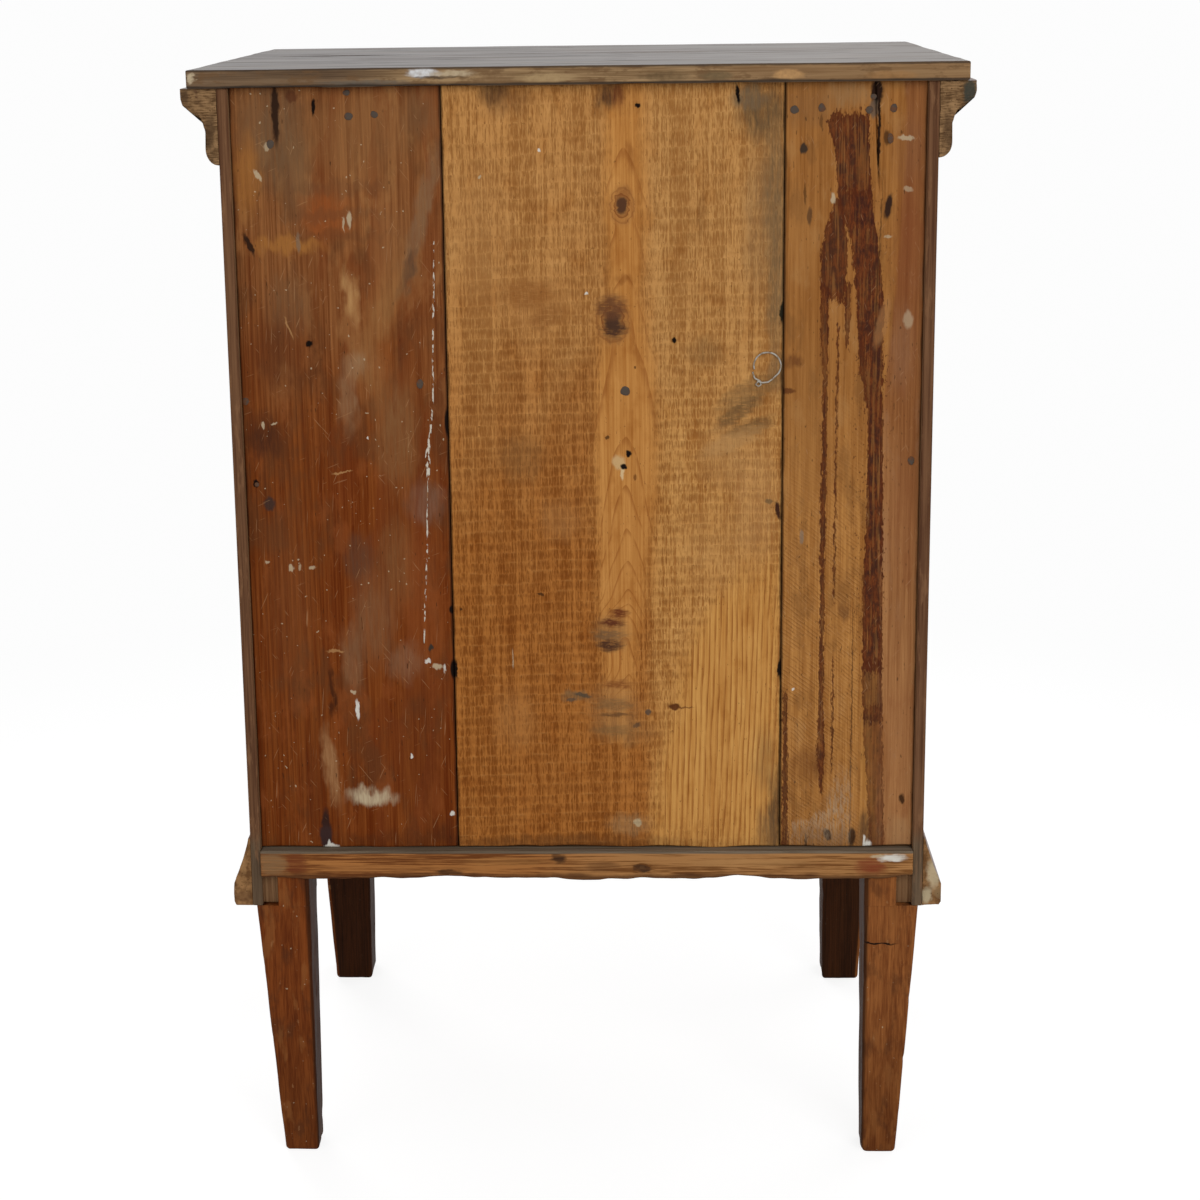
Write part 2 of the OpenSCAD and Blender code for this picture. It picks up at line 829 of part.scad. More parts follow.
// Box that holds the bolt and the key's bit, closed towards the cupboard
module lock_case() {
  t = lock_plate_t;
  low = key_z - lock_h / 2;
  high = key_z + lock_h / 2;
  color(iron) difference() {
    span([lock_x, lock_y, low], [door_half, door_rear_y, high]);
    span([lock_x + t, lock_y + t, low + t], [door_half - t, door_rear_y - t, high - t]);
    keyhole(lock_y - eps, lock_y + t + eps, keyhole_play);
    bolt_way(door_half - t - eps, door_half + eps);
  }
}

// The space that the bolt slides through
module bolt_way(x_low, x_high) {
  half_t = bolt_t / 2 + bolt_play;
  span([x_low, bolt_y - half_t, bolt_z - bolt_play], [x_high, bolt_y + half_t, bolt_z + bolt_h + bolt_play]);
}

module bolt_mortise() {
  bolt_way(open_x - eps, open_x + bolt_throw + 2);
}

module lock_bolt() {
  end_x = door_half - 0.2;
  color(iron) span([bolt_in_x, bolt_y - bolt_t / 2, bolt_z], [end_x, bolt_y + bolt_t / 2, bolt_z + bolt_h]);
}

module key() {
  bow_y = front_y - escutcheon_t - 2 - bow_r - bow_wire_r;
  bit_y = lock_y + lock_plate_t + 0.6;
  bit_end = door_rear_y - lock_plate_t - 0.6;
  color(iron) {
    translate([key_x, bow_y + bow_r, key_z]) rotate([-90, 0, 0])
      cylinder(r = key_r, h = bit_end - bow_y - bow_r);
    span([key_x - bit_t / 2, bit_y, key_z - bit_l], [key_x + bit_t / 2, bit_end, key_z]);
    translate([key_x, bow_y, key_z]) rotate([0, 90, 0]) rotate_extrude()
      translate([bow_r, 0]) circle(r = bow_wire_r, $fn = 24);
  }
}

module escutcheon() {
  r = escutcheon_w / 2;
  color(brass) difference() {
    translate([key_x, front_y, key_z - bit_l / 2]) rotate([90, 0, 0]) linear_extrude(escutcheon_t) {
      for (k = [-1, 1]) translate([0, k * (escutcheon_h / 2 - r)]) circle(r = r);
      square([2 * r, escutcheon_h - 2 * r], center = true);
    }
    keyhole(front_y - escutcheon_t - 1, front_y + 1, keyhole_play);
  }
}

// Nails through the back boards. Each place is a side, the distance in from that side's
// outer face, and the height above the middle of the wood that the nail is driven into.
rail_nails = [
  [1, 90, 2], [1, 108, 3], [1, 89, 18], [1, 35, -16],
  [-1, 99, 3], [-1, 80, 4], [-1, 47, 2], [-1, 31, 4], [-1, 45, 12], [-1, 33, -17]
];
partition_nails = [[-1, 216, 0], [1, 135, 5]];
side_nails = [[1, 10.5, -6], [1, 15.5, -66], [-1, 14, -52]];

module back_nail(place, z) {
  head_t = 1.2;
  translate([place[0] * (half_w - place[1]), board_rear_y, z + place[2]]) rotate([90, 0, 0]) {
    cylinder(r = nail_r, h = head_t, $fn = 20);
    cylinder(r = nail_shank_r, h = nail_l, $fn = 16);
  }
}

module back_nails() {
  color(iron) {
    for (p = rail_nails) back_nail(p, under_top - rear_rail_h / 2);
    for (p = concat(partition_nails, side_nails)) back_nail(p, part_z - partition_t / 2);
  }
}

// Scrap of bent wire on the middle board, beside the left joint. Most of a circle is left
// of it, between two open ends.
wire_x = -back_joint_left + wire_aside;
wire_z = part_z + wire_rise;
wire_ends = [-15, 235];

module wire_loop() {
  open_mid = (wire_ends[0] + wire_ends[1]) / 2 + 180;
  open_half = (360 - wire_ends[1] + wire_ends[0]) / 2;
  reach = 2 * loop_r;
  color(iron) translate([wire_x, board_rear_y + wire_r, wire_z]) rotate([90, 0, 0]) {
    difference() {
      rotate_extrude() translate([loop_r, 0]) circle(r = wire_r, $fn = 16);
      rotate([0, 0, open_mid]) translate([0, 0, -2 * wire_r]) linear_extrude(4 * wire_r)
        polygon([[0, 0], [reach, -reach * tan(open_half)], [reach, reach * tan(open_half)]]);
    }
  }
}

top_rear_board();
top_front_board();
side_panel(-1);  // side_panel_left
side_panel(1);  // side_panel_right
back_board_left();
back_board_middle();
back_board_right();
bottom_board();
partition_board();
rear_rail();
stile(-1);  // stile_left
stile(1);  // stile_right
top_rail();
divider_rail();
sill_rail();
crown_moulding_front();
crown_moulding(-1);  // crown_moulding_left
crown_moulding(1);  // crown_moulding_right
base_moulding_front();
base_moulding(-1);  // base_moulding_left
base_moulding(1);  // base_moulding_right
rear_leg(-1);  // leg_rear_left
rear_leg(1);  // leg_rear_right
front_leg(-1);  // leg_front_left
front_leg(1);  // leg_front_right
drawer_guide(-1);  // drawer_guide_left
drawer_guide(1);  // drawer_guide_right
kicker(-1);  // kicker_left
kicker(1);  // kicker_right
drawer_stops();
drawer_front();
drawer_side(-1);  // drawer_side_left
drawer_side(1);  // drawer_side_right
drawer_back();
drawer_bottom();
drawer_knob();
door_stile_hinge();
door_stile_lock();
door_rail_top();
door_rail_low();
door_panel();
door_stop();
hinge_leaves_frame();
hinge_leaves_door();
hinge_pins();
hinge_screws_frame();
hinge_screws_door();
lock_case();
lock_bolt();
key();
escutcheon();
back_nails();
wire_loop();
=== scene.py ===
"""Looks of an antique bedside cabinet: worn timber, old stain and paint, nails and a scrap of wire.

Lengths are millimetres in the part's frame, and become metres where a mesh is made. The lamps and the
floor are given in metres. The boarded back faces +Y. Seen from behind, the picture's left is +X.
"""

import json
import math

import bmesh
import bpy
import numpy as np
from mathutils import Matrix, Vector, noise

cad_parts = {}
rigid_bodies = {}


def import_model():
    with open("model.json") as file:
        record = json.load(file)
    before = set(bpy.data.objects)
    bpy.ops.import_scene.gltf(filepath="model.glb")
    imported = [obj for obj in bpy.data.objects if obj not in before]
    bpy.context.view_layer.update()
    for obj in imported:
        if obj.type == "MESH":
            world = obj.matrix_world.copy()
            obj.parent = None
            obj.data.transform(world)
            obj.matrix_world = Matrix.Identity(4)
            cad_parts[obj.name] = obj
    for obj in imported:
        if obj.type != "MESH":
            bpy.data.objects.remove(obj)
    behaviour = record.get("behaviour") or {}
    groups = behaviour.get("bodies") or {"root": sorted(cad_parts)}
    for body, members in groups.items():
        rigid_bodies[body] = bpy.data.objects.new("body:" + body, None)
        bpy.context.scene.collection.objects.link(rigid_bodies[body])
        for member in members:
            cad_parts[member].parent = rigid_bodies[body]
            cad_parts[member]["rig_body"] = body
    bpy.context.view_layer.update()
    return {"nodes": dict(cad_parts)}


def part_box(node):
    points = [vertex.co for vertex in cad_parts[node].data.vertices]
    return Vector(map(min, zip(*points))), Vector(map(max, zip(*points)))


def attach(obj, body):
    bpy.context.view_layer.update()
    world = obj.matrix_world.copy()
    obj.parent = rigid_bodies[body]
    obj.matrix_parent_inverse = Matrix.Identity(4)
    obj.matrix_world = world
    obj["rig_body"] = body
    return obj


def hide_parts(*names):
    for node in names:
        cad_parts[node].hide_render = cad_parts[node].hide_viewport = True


MM = 0.001

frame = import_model()
cad_nodes = frame["nodes"]


def box_mm(node):
    """Lowest and highest corner of a CAD node, in millimetres."""
    low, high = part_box(node)
    return np.array(low) / MM, np.array(high) / MM


def add_object(name, data):
    thing = bpy.data.objects.new(name, data)
    bpy.context.scene.collection.objects.link(thing)
    return thing


def cosine_sine(degrees):
    angle = math.radians(degrees)
    return math.cos(angle), math.sin(angle)


# Camera

PICTURE = 1200
FOCAL_PX = 2300
MIDDLE_PX = (566.8, 480.0)
CAMERA_PLACE = (-43.4, 1786.9, 889.0)
CAMERA_YAW = 1.92
CAMERA_PITCH = 12.7
CAMERA_ROLL = -0.75
SENSOR = 36.0
CLIP_END = 50.0


def make_camera():
    yaw_cos, yaw_sin = cosine_sine(CAMERA_YAW)
    pitch_cos, pitch_sin = cosine_sine(CAMERA_PITCH)
    roll_cos, roll_sin = cosine_sine(CAMERA_ROLL)
    ahead = Vector((yaw_sin * pitch_cos, -yaw_cos * pitch_cos, -pitch_sin))
    level = Vector((-yaw_cos, -yaw_sin, 0.0))
    rise = level.cross(ahead)
    right = level * roll_cos + rise * roll_sin
    up = rise * roll_cos - level * roll_sin
    turn = Matrix((right, up, -ahead)).transposed().to_4x4()
    data = bpy.data.cameras.new("camera")
    data.sensor_width = SENSOR
    data.lens = SENSOR * FOCAL_PX / PICTURE
    data.shift_x = (PICTURE / 2 - MIDDLE_PX[0]) / PICTURE
    data.shift_y = -(PICTURE / 2 - MIDDLE_PX[1]) / PICTURE
    data.clip_end = CLIP_END
    camera = add_object("camera", data)
    camera.matrix_world = Matrix.Translation(Vector(CAMERA_PLACE) * MM) @ turn
    bpy.context.scene.camera = camera


# Node trees

# Sockets of a colour mix: the share and the two colours
MIX_INPUTS = (0, 6, 7)
MIX_OUTPUT = 2


class Tree:
    """Adds nodes to a tree by short calls. Sockets and plain values mix freely as arguments."""

    def __init__(self, tree):
        self.tree = tree
        tree.nodes.clear()

    def put(self, socket, value):
        if isinstance(value, bpy.types.NodeSocket):
            self.tree.links.new(value, socket)
        elif isinstance(value, tuple) and socket.type == "RGBA":
            socket.default_value = (*value, 1.0)
        else:
            socket.default_value = value

    def node(self, kind, *values, **settings):
        """A new node with its settings made and its first inputs filled."""
        node = self.tree.nodes.new(kind)
        for name, value in settings.items():
            setattr(node, name, value)
        for socket, value in zip(node.inputs, values):
            self.put(socket, value)
        return node

    def split(self, place):
        return self.node("ShaderNodeSeparateXYZ", place).outputs

    def join(self, x, y, z):
        return self.node("ShaderNodeCombineXYZ", x, y, z).outputs[0]

    def vector(self, operation, first, second):
        return self.node("ShaderNodeVectorMath", first, second, operation=operation).outputs[0]

    def math(self, operation, *values):
        return self.node("ShaderNodeMath", *values, operation=operation).outputs[0]

    def chain(self, operation, values):
        result = values[0]
        for value in values[1:]:
            result = self.math(operation, result, value)
        return result

    def add(self, *values):
        return self.chain("ADD", values)

    def less(self, first, second):
        return self.math("SUBTRACT", first, second)

    def times(self, *values):
        return self.chain("MULTIPLY", values)

    def clamp(self, value, low, high):
        return self.math("MINIMUM", self.math("MAXIMUM", value, low), high)

    def fade(self, value, low, high):
        """Rises smoothly from 0 at low to 1 at high, or falls if low is above high."""
        node = self.node("ShaderNodeMapRange", value, low, high, interpolation_type="SMOOTHSTEP")
        return node.outputs["Result"]


def spot_group():
    """Distance from the middle of an oval in the plane of X and Z: 0 there and 1 on its outline."""
    tree = bpy.data.node_groups.new("spot", "ShaderNodeTree")
    tree.interface.new_socket("Place", in_out="INPUT", socket_type="NodeSocketVector")
    for name in ("Across", "Up", "Width", "Height", "Cosine", "Sine"):
        tree.interface.new_socket(name, in_out="INPUT", socket_type="NodeSocketFloat")
    tree.interface.new_socket("Distance", in_out="OUTPUT", socket_type="NodeSocketFloat")
    g = Tree(tree)
    source = g.node("NodeGroupInput").outputs
    x, _, z = g.split(source["Place"])
    across = g.less(x, source["Across"])
    up = g.less(z, source["Up"])
    u = g.add(g.times(across, source["Cosine"]), g.times(up, source["Sine"]))
    v = g.less(g.times(up, source["Cosine"]), g.times(across, source["Sine"]))
    u = g.math("DIVIDE", u, source["Width"])
    v = g.math("DIVIDE", v, source["Height"])
    g.node("NodeGroupOutput", g.math("SQRT", g.add(g.times(u, u), g.times(v, v))))
    return tree


SPOT = spot_group()


class Finish(Tree):
    """One material."""

    def __init__(self, name, roughness=0.7, specular=0.3, metallic=0.0):
        self.material = bpy.data.materials.new(name)
        self.material.use_nodes = True
        super().__init__(self.material.node_tree)
        self.shader = self.node("ShaderNodeBsdfPrincipled")
        self.shader.inputs["Roughness"].default_value = roughness
        self.shader.inputs["Specular IOR Level"].default_value = specular
        self.shader.inputs["Metallic"].default_value = metallic
        self.node("ShaderNodeOutputMaterial", self.shader.outputs[0])
        coords = self.node("ShaderNodeTexCoord")
        self.place = self.vector("MULTIPLY", coords.outputs["Object"], (1 / MM, 1 / MM, 1 / MM))
        self.x, self.y, self.z = self.split(self.place)

    def spread(self, value, low, high):
        """Maps 0 to 1 onto low to high."""
        return self.add(self.times(value, high - low), low)

    def tooth(self, turn, low, high, end):
        """Rises from low to high within each turn and falls back from end to 1."""
        return self.times(self.fade(turn, low, high), self.fade(turn, 1.0, end))

    def mix(self, share, first, second, blend="MIX"):
        node = self.node("ShaderNodeMix", data_type="RGBA", blend_type=blend)
        for number, value in zip(MIX_INPUTS, (share, first, second)):
            self.put(node.inputs[number], value)
        return node.outputs[MIX_OUTPUT]

    def lay(self, colour, mask, strength, tint):
        """Lays a tint over a colour where the mask is."""
        return self.mix(self.times(mask, strength), colour, tint)

    def noise(self, size, place=None, detail=2.0, rough=0.5, seed=0.0):
        """Noise from 0 to 1. Size is the length of one wave along x, y and z."""
        if not isinstance(size, tuple):
            size = (size, size, size)
        at = self.vector("DIVIDE", self.place if place is None else place, size)
        at = self.vector("ADD", at, (seed, seed * 1.7, seed * 0.6))
        node = self.node("ShaderNodeTexNoise", at)
        node.inputs["Scale"].default_value = 1.0
        node.inputs["Detail"].default_value = detail
        node.inputs["Roughness"].default_value = rough
        return node.outputs["Fac"]

    def patches(self, size, low, high, seed, detail=2.0, rough=0.5, place=None):
        """Noise cut to a mask, 0 below low and 1 above high."""
        return self.fade(self.noise(size, place, detail, rough, seed), low, high)

    def sway(self, size, reach, seed, place=None, detail=2.0):
        """Noise centred on 0, mostly within plus and minus reach."""
        return self.times(self.less(self.noise(size, place, detail, seed=seed), 0.5), 4 * reach)

    def grain_place(self, along):
        """The place with the grain's own direction last."""
        if along == "x":
            return self.join(self.y, self.z, self.x)
        if along == "y":
            return self.join(self.x, self.z, self.y)
        return self.place

    def warped(self, size, across, up, seed=3.0, detail=3.0):
        """The place, pushed about so that the outlines of marks come out ragged."""
        side = self.sway(size, across, seed, detail=detail)
        rise = self.sway(size, up, seed + 4.0, detail=detail)
        return self.vector("ADD", self.place, self.join(side, 0.0, rise))

    def oval(self, x, z, width, height, lean=0, place=None):
        """Distance from an oval's middle, with half sizes. Lean turns its top towards +X."""
        place = self.place if place is None else place
        values = (place, x, z, width, height, *cosine_sine(-lean))
        return self.node("ShaderNodeGroup", *values, node_tree=SPOT).outputs["Distance"]

    def marks(self, colour, rows, place, soft, texture=1.0):
        """Lays ovals over a colour. Rows: x, z, half width, half height, strength, tint, perhaps lean."""
        for x, z, width, height, strength, tint, *lean in rows:
            distance = self.oval(x, z, width, height, lean[0] if lean else 0, place)
            share = self.times(self.fade(distance, 1.0 + soft, 1.0 - soft), strength, texture)
            colour = self.mix(share, colour, tint)
        return colour

    def knot(self, colour, x, z, width, height, core, rim, place, turns=3.0):
        """A knot: rings round a dark heart, in a smooth collar of paler wood."""
        distance = self.oval(x, z, width, height, 0, place)
        ring = self.math("FRACT", self.times(distance, turns))
        ring = self.times(self.fade(ring, 0.45, 0.9), self.fade(distance, 1.25, 0.7))
        colour = self.lay(colour, self.fade(distance, 1.3, 0.95), 0.55, (0.36, 0.155, 0.042))
        colour = self.lay(colour, ring, 0.75, rim)
        return self.mix(self.fade(distance, 0.62, 0.3), colour, core)

    def band(self, rows, place, tip=0.25):
        """Distance in millimetres inside a band. Rows run downwards: height, lower x and higher x."""
        heights = [row[0] for row in rows]
        top, bottom = heights[0], heights[-1]
        x, _, z = self.split(place)
        share = self.times(self.less(z, bottom), 1 / (top - bottom))
        ends = self.math("MINIMUM", self.less(z, bottom), self.less(top, z))
        edges = []
        for column in (1, 2):
            values = [row[column] for row in rows]
            base = min(values) - 1.0
            span = max(values) + 1.0 - base
            node = self.node("ShaderNodeFloatCurve")
            self.put(node.inputs["Value"], share)
            points = node.mapping.curves[0].points
            spots = sorted(((h - bottom) / (top - bottom), (v - base) / span)
                           for h, v in zip(heights, values))
            points[0].location = spots[0]
            points[1].location = spots[-1]
            for spot in spots[1:-1]:
                points.new(*spot)
            for point in points:
                point.handle_type = "VECTOR"
            node.mapping.update()
            edges.append(self.spread(node.outputs[0], base, base + span))
        inside = self.math("MINIMUM", self.less(x, edges[0]), self.less(edges[1], x))
        return self.math("MINIMUM", inside, self.times(ends, tip))

    def rings(self, place, pith, slope, spacing, sway=6.0, seed=1.0):
        """Late wood from 0 to 1. The pith line passes at pith and leans by slope."""
        x, y, z = self.split(place)
        across = self.less(x, pith[0])
        deep = self.add(self.less(y, pith[1]), self.times(self.less(z, pith[2]), slope))
        radius = self.math("SQRT", self.add(self.times(across, across), self.times(deep, deep)))
        radius = self.add(radius, self.sway((40, 40, 220), sway / 2, seed, place))
        turn = self.math("FRACT", self.times(radius, 1 / spacing))
        return self.times(turn, turn, self.fade(turn, 1.0, 0.86))

    def scratches(self, angle, width, length, limit, seed):
        """Short straight scratches in the plane of X and Z, leaning by an angle."""
        cosine, sine = cosine_sine(angle)
        u = self.add(self.times(self.x, cosine), self.times(self.z, sine))
        v = self.less(self.times(self.z, cosine), self.times(self.x, sine))
        place = self.join(u, 0.0, v)
        return self.patches((width, 1, length), limit, limit + 0.05, seed, 1, place=place)

    def bump(self, height, distance):
        node = self.node("ShaderNodeBump")
        node.inputs["Distance"].default_value = distance * MM
        self.put(node.inputs["Height"], height)
        self.put(self.shader.inputs["Normal"], node.outputs[0])

    def edge_wear(self, radius):
        """1 near an arris and 0 on open faces."""
        soft = self.node("ShaderNodeBevel", radius * MM, samples=4).outputs[0]
        plain = self.node("ShaderNodeNewGeometry").outputs["Normal"]
        node = self.node("ShaderNodeVectorMath", soft, plain, operation="DOT_PRODUCT")
        return self.fade(node.outputs["Value"], 0.995, 0.90)

    def fibres(self, place, fine=1.1, broad=14.0, seed=0.0):
        """Tone of the fibres from 0 to 1, in three widths that all run with the grain."""
        thin = self.noise((fine, fine, fine * 45), place, seed=seed)
        middle = self.noise((fine * 3.2, fine * 3.2, fine * 160), place, detail=3.0, seed=seed + 5)
        wide = self.noise((broad, broad, broad * 16), place, seed=seed + 9)
        total = self.add(self.times(thin, 0.42), self.times(middle, 0.34), self.times(wide, 0.24))
        return self.fade(total, 0.34, 0.66)

    def painted_gap_shade(self, colour, node, reach=1.8):
        """Painted shade along the upright edges of a board, where the gaps to its neighbours are."""
        low, high = box_mm(node)
        near = self.math("MINIMUM", self.less(self.x, low[0]), self.less(high[0], self.x))
        # Painted shade: soot colour within a couple of millimetres of each upright edge
        dirt = self.fade(self.add(near, self.sway((6, 6, 25), reach / 3, 51)), reach, 0.3)
        return self.lay(colour, dirt, 0.7, SOOT)

    def done(self, colour, roughness=None):
        self.put(self.shader.inputs["Base Color"], colour)
        if roughness is not None:
            self.put(self.shader.inputs["Roughness"], roughness)
        return self.material


# Colours of marks, as linear light
TAR = (0.022, 0.010, 0.006)
SOOT = (0.007, 0.004, 0.003)
DARK = (0.045, 0.018, 0.007)
GREY = (0.185, 0.125, 0.080)
ASH = (0.165, 0.082, 0.036)
PAINT = (0.66, 0.63, 0.56)
PUTTY = (0.46, 0.36, 0.23)
ORANGE = (0.31, 0.125, 0.030)
RED = (0.235, 0.062, 0.015)
TAN = (0.205, 0.092, 0.034)
OXBLOOD = (0.150, 0.038, 0.011)
PLUM = (0.070, 0.018, 0.008)
BARE = (0.47, 0.26, 0.10)
KNOT = (0.085, 0.036, 0.017)
RIM = (0.175, 0.052, 0.014)

# Roughness of raw wood where it is mixed as a colour
MATTE = (0.85, 0.85, 0.85)


def stained_back():
    """Smooth red-brown board, on the picture's left."""
    s = Finish("stained_back", roughness=0.62, specular=0.03)
    tone = s.fibres(s.place, fine=1.0, broad=16.0, seed=2.0)
    height = s.fade(s.add(s.z, s.sway((30, 30, 70), 60, 7)), 500, 740)
    dark = s.mix(height, (0.106, 0.018, 0.002), (0.135, 0.040, 0.011))
    light = s.mix(height, (0.215, 0.058, 0.011), (0.295, 0.118, 0.038))
    colour = s.mix(tone, dark, light)
    # Upright rings show in the third nearest the side panel
    ring = s.rings(s.place, (470, 180, 0), 0.01, 3.6, sway=3.0, seed=3.0)
    ring_share = s.times(s.fade(s.add(s.x, s.sway((40, 40, 90), 10, 5)), 165, 200), 0.6)
    colour = s.lay(colour, ring, ring_share, (0.075, 0.018, 0.004))
    # Wide flames in the other two thirds: redder on one side of each wandering line
    flame = s.add(s.times(s.x, 0.9), s.times(s.z, 0.16), s.sway((26, 26, 120), 12, 9))
    flame = s.math("FRACT", s.times(flame, 1 / 31.0))
    flame = s.times(s.tooth(flame, 0.35, 0.95, 0.97), s.fade(ring_share, 0.5, 0.1))
    colour = s.lay(colour, flame, 0.5, (0.150, 0.034, 0.008))
    cloud = s.noise((24, 24, 60), detail=5, rough=0.6, seed=11)
    colour = s.lay(colour, s.fade(cloud, 0.50, 0.66), 0.55, (0.098, 0.036, 0.013))
    bright = s.patches((17, 17, 42), 0.52, 0.68, 13, 5, 0.62)
    colour = s.lay(colour, bright, 0.5, s.mix(height, RED, (0.31, 0.145, 0.050)))
    near = s.warped((7, 7, 16), 3.5, 6.0, detail=4)
    ragged = s.spread(s.noise((1.5, 1.5, 14), detail=4, rough=0.65, seed=19), 0.0, 1.75)
    colour = s.marks(colour, STAINED_CLOUDS, near, 0.6, ragged)
    fine = s.warped((2.6, 2.6, 5), 0.9, 1.4, seed=23)
    colour = s.marks(colour, STAINED_SPOTS, fine, 0.3)
    for angle, length, limit, strength in SCRATCHES:
        scratch = s.scratches(angle, 1.0, length, limit, 30 + angle)
        colour = s.lay(colour, scratch, strength, (0.40, 0.215, 0.100))
    dots = s.patches((2.2, 2.2, 5), 0.47, 0.56, 31)
    drips = 0.0
    drip_place = s.warped((4, 4, 14), 0.3, 1.0, seed=29)
    for rows in PAINT_DRIPS:
        inside = s.fade(s.add(s.band(rows, drip_place), s.sway((2, 2, 6), 0.25, 33)), 0.1, 0.5)
        drips = s.math("MAXIMUM", inside, drips)
    drips = s.times(drips, dots)
    colour = s.mix(drips, colour, (0.55, 0.49, 0.40))
    colour = s.lay(colour, s.patches(2.1, 0.86, 0.88, 37, 0), 0.7, PUTTY)
    pits = s.patches((1.4, 1.4, 7), 0.72, 0.78, 41, 1)
    colour = s.lay(colour, pits, 0.7, DARK)
    # Painted shade along the board's upright edges
    colour = s.painted_gap_shade(colour, "back_board_right")
    # Painted shade in the gap beside the middle board
    colour = s.marks(colour, STAINED_GAP_SHADE, s.place, 0.3)
    s.bump(s.add(s.times(tone, 0.7), s.times(pits, -0.8), s.times(ring, -0.4), drips), 0.16)
    return s.done(colour, s.spread(cloud, 0.42, 0.70))


# Angle, length, limit and strength of the scratches on the stained board
SCRATCHES = [(24, 22, 0.730, 0.45), (-38, 18, 0.735, 0.40), (4, 34, 0.725, 0.40), (68, 14, 0.750, 0.30)]

STAINED_CLOUDS = [
    (209, 775, 19, 36, 0.75, (0.150, 0.083, 0.040)), (194, 742, 10, 30, 0.55, ASH),
    (229, 785, 9, 20, 0.55, (0.19, 0.088, 0.035)), (230, 745, 8, 24, 0.75, ORANGE),
    (150, 775, 38, 28, 0.45, (0.245, 0.115, 0.042)), (108, 788, 12, 16, 0.45, ASH),
    (176, 718, 16, 17, 0.95, (0.245, 0.068, 0.017)), (204, 698, 22, 6, 0.95, ORANGE),
    (170, 737, 40, 5, 0.35, (0.115, 0.050, 0.022)), (172, 719, 36, 4, 0.40, (0.110, 0.046, 0.020)),
    (166, 705, 34, 3.4, 0.35, (0.105, 0.040, 0.016)), (128, 700, 16, 26, 0.4, (0.23, 0.10, 0.036)),
    (109, 718, 5.5, 46, 0.75, (0.205, 0.108, 0.052), -16),
    (121, 676, 3.4, 16, 0.8, (0.07, 0.035, 0.022), -20),
    (136, 655, 9, 30, 0.6, (0.29, 0.135, 0.045), -24), (161, 662, 5, 18, 0.6, BARE, 8),
    (205, 655, 14, 22, 0.6, ASH), (150, 610, 9, 24, 0.5, (0.29, 0.14, 0.05), 14),
    (225, 561, 12, 15, 0.95, (0.070, 0.022, 0.009)), (131, 562, 14, 38, 0.75, TAN),
    (165, 590, 6, 22, 0.7, (0.24, 0.125, 0.060)), (158, 612, 6, 9, 0.7, (0.28, 0.155, 0.075)),
    (160, 470, 11, 16, 0.7, (0.105, 0.046, 0.024)), (133, 470, 12, 30, 0.55, TAN),
    (152, 425, 14, 30, 0.6, (0.20, 0.092, 0.040)), (115, 440, 14, 60, 0.55, RED),
    (168, 395, 8, 22, 0.55, (0.23, 0.115, 0.055)), (129, 393, 12, 12, 0.5, (0.25, 0.13, 0.07)),
    (186.5, 314, 5, 27, 0.9, (0.30, 0.145, 0.060), 6), (157, 289.5, 15, 6.5, 1, PUTTY),
    (120, 330, 16, 60, 0.4, (0.098, 0.022, 0.006)), (200, 300, 8, 40, 0.45, (0.095, 0.022, 0.006)),
    (104, 262, 10, 10, 0.6, (0.06, 0.016, 0.006)), (140, 256, 40, 6, 0.5, (0.08, 0.022, 0.007)),
    (212, 440, 16, 70, 0.35, (0.175, 0.060, 0.020)), (183.5, 371, 1.8, 16, 0.9, (0.05, 0.014, 0.005)),
    (110.5, 512, 12, 14, 0.5, (0.20, 0.11, 0.07)), (214, 622, 20, 26, 0.5, (0.105, 0.028, 0.009)),
]

STAINED_SPOTS = [
    (208.5, 790, 2.6, 22, 0.95, TAR), (182, 793, 1.3, 6, 1, SOOT), (197, 801, 4, 4, 0.6, PLUM),
    (230.5, 698.5, 8.5, 1.8, 0.95, TAR, -68), (159.5, 715, 1.5, 6, 0.8, PUTTY),
    (163.5, 712, 0.8, 5, 0.7, PUTTY), (222.4, 746.7, 1.3, 4.5, 0.8, PUTTY, 32),
    (210, 465, 1.6, 2.2, 0.8, PUTTY), (204, 465.5, 0.8, 2.4, 0.6, PUTTY),
    (195, 464.5, 2.6, 1.7, 0.7, PUTTY), (227, 469, 1.6, 1, 0.7, PUTTY), (113, 394, 2.2, 1.6, 0.8, PAINT),
    (106, 390, 3.4, 2.2, 0.8, PUTTY), (101, 389, 1.2, 3, 0.7, PAINT), (168.5, 371, 2, 1.5, 0.8, PUTTY),
    (165.6, 357, 1.2, 7.5, 0.9, PAINT), (127, 321, 1.1, 1.9, 0.9, PAINT), (97.5, 277, 1.6, 2.2, 0.85, PAINT),
    (191.8, 266, 3.2, 14, 1, (0.035, 0.014, 0.010)), (192.2, 258.5, 4.6, 8.5, 1, (0.040, 0.020, 0.018)),
    (188.5, 250.5, 5.4, 2.6, 1, PAINT), (190, 254, 1, 3, 0.9, PAINT), (191.2, 628.3, 2.4, 2.6, 1, SOOT),
    (110.5, 404.3, 2, 3, 1, (0.04, 0.030, 0.022)), (224, 512, 4.2, 4.8, 0.9, (0.045, 0.026, 0.020)),
    (233, 527.3, 2, 2.4, 1, SOOT), (226, 570, 0.9, 2.4, 0.8, PUTTY), (218.5, 571, 2.2, 0.9, 0.8, PUTTY),
    (152, 560, 0.8, 0.8, 0.8, PAINT), (171, 535, 7, 0.8, 0.6, BARE, 8), (205, 640, 0.7, 8, 0.5, BARE, 20),
    (215.5, 766, 1.6, 3, 0.6, PUTTY), (180, 402, 6, 1, 0.5, BARE), (196, 700, 1.4, 7, 0.7, GREY),
]

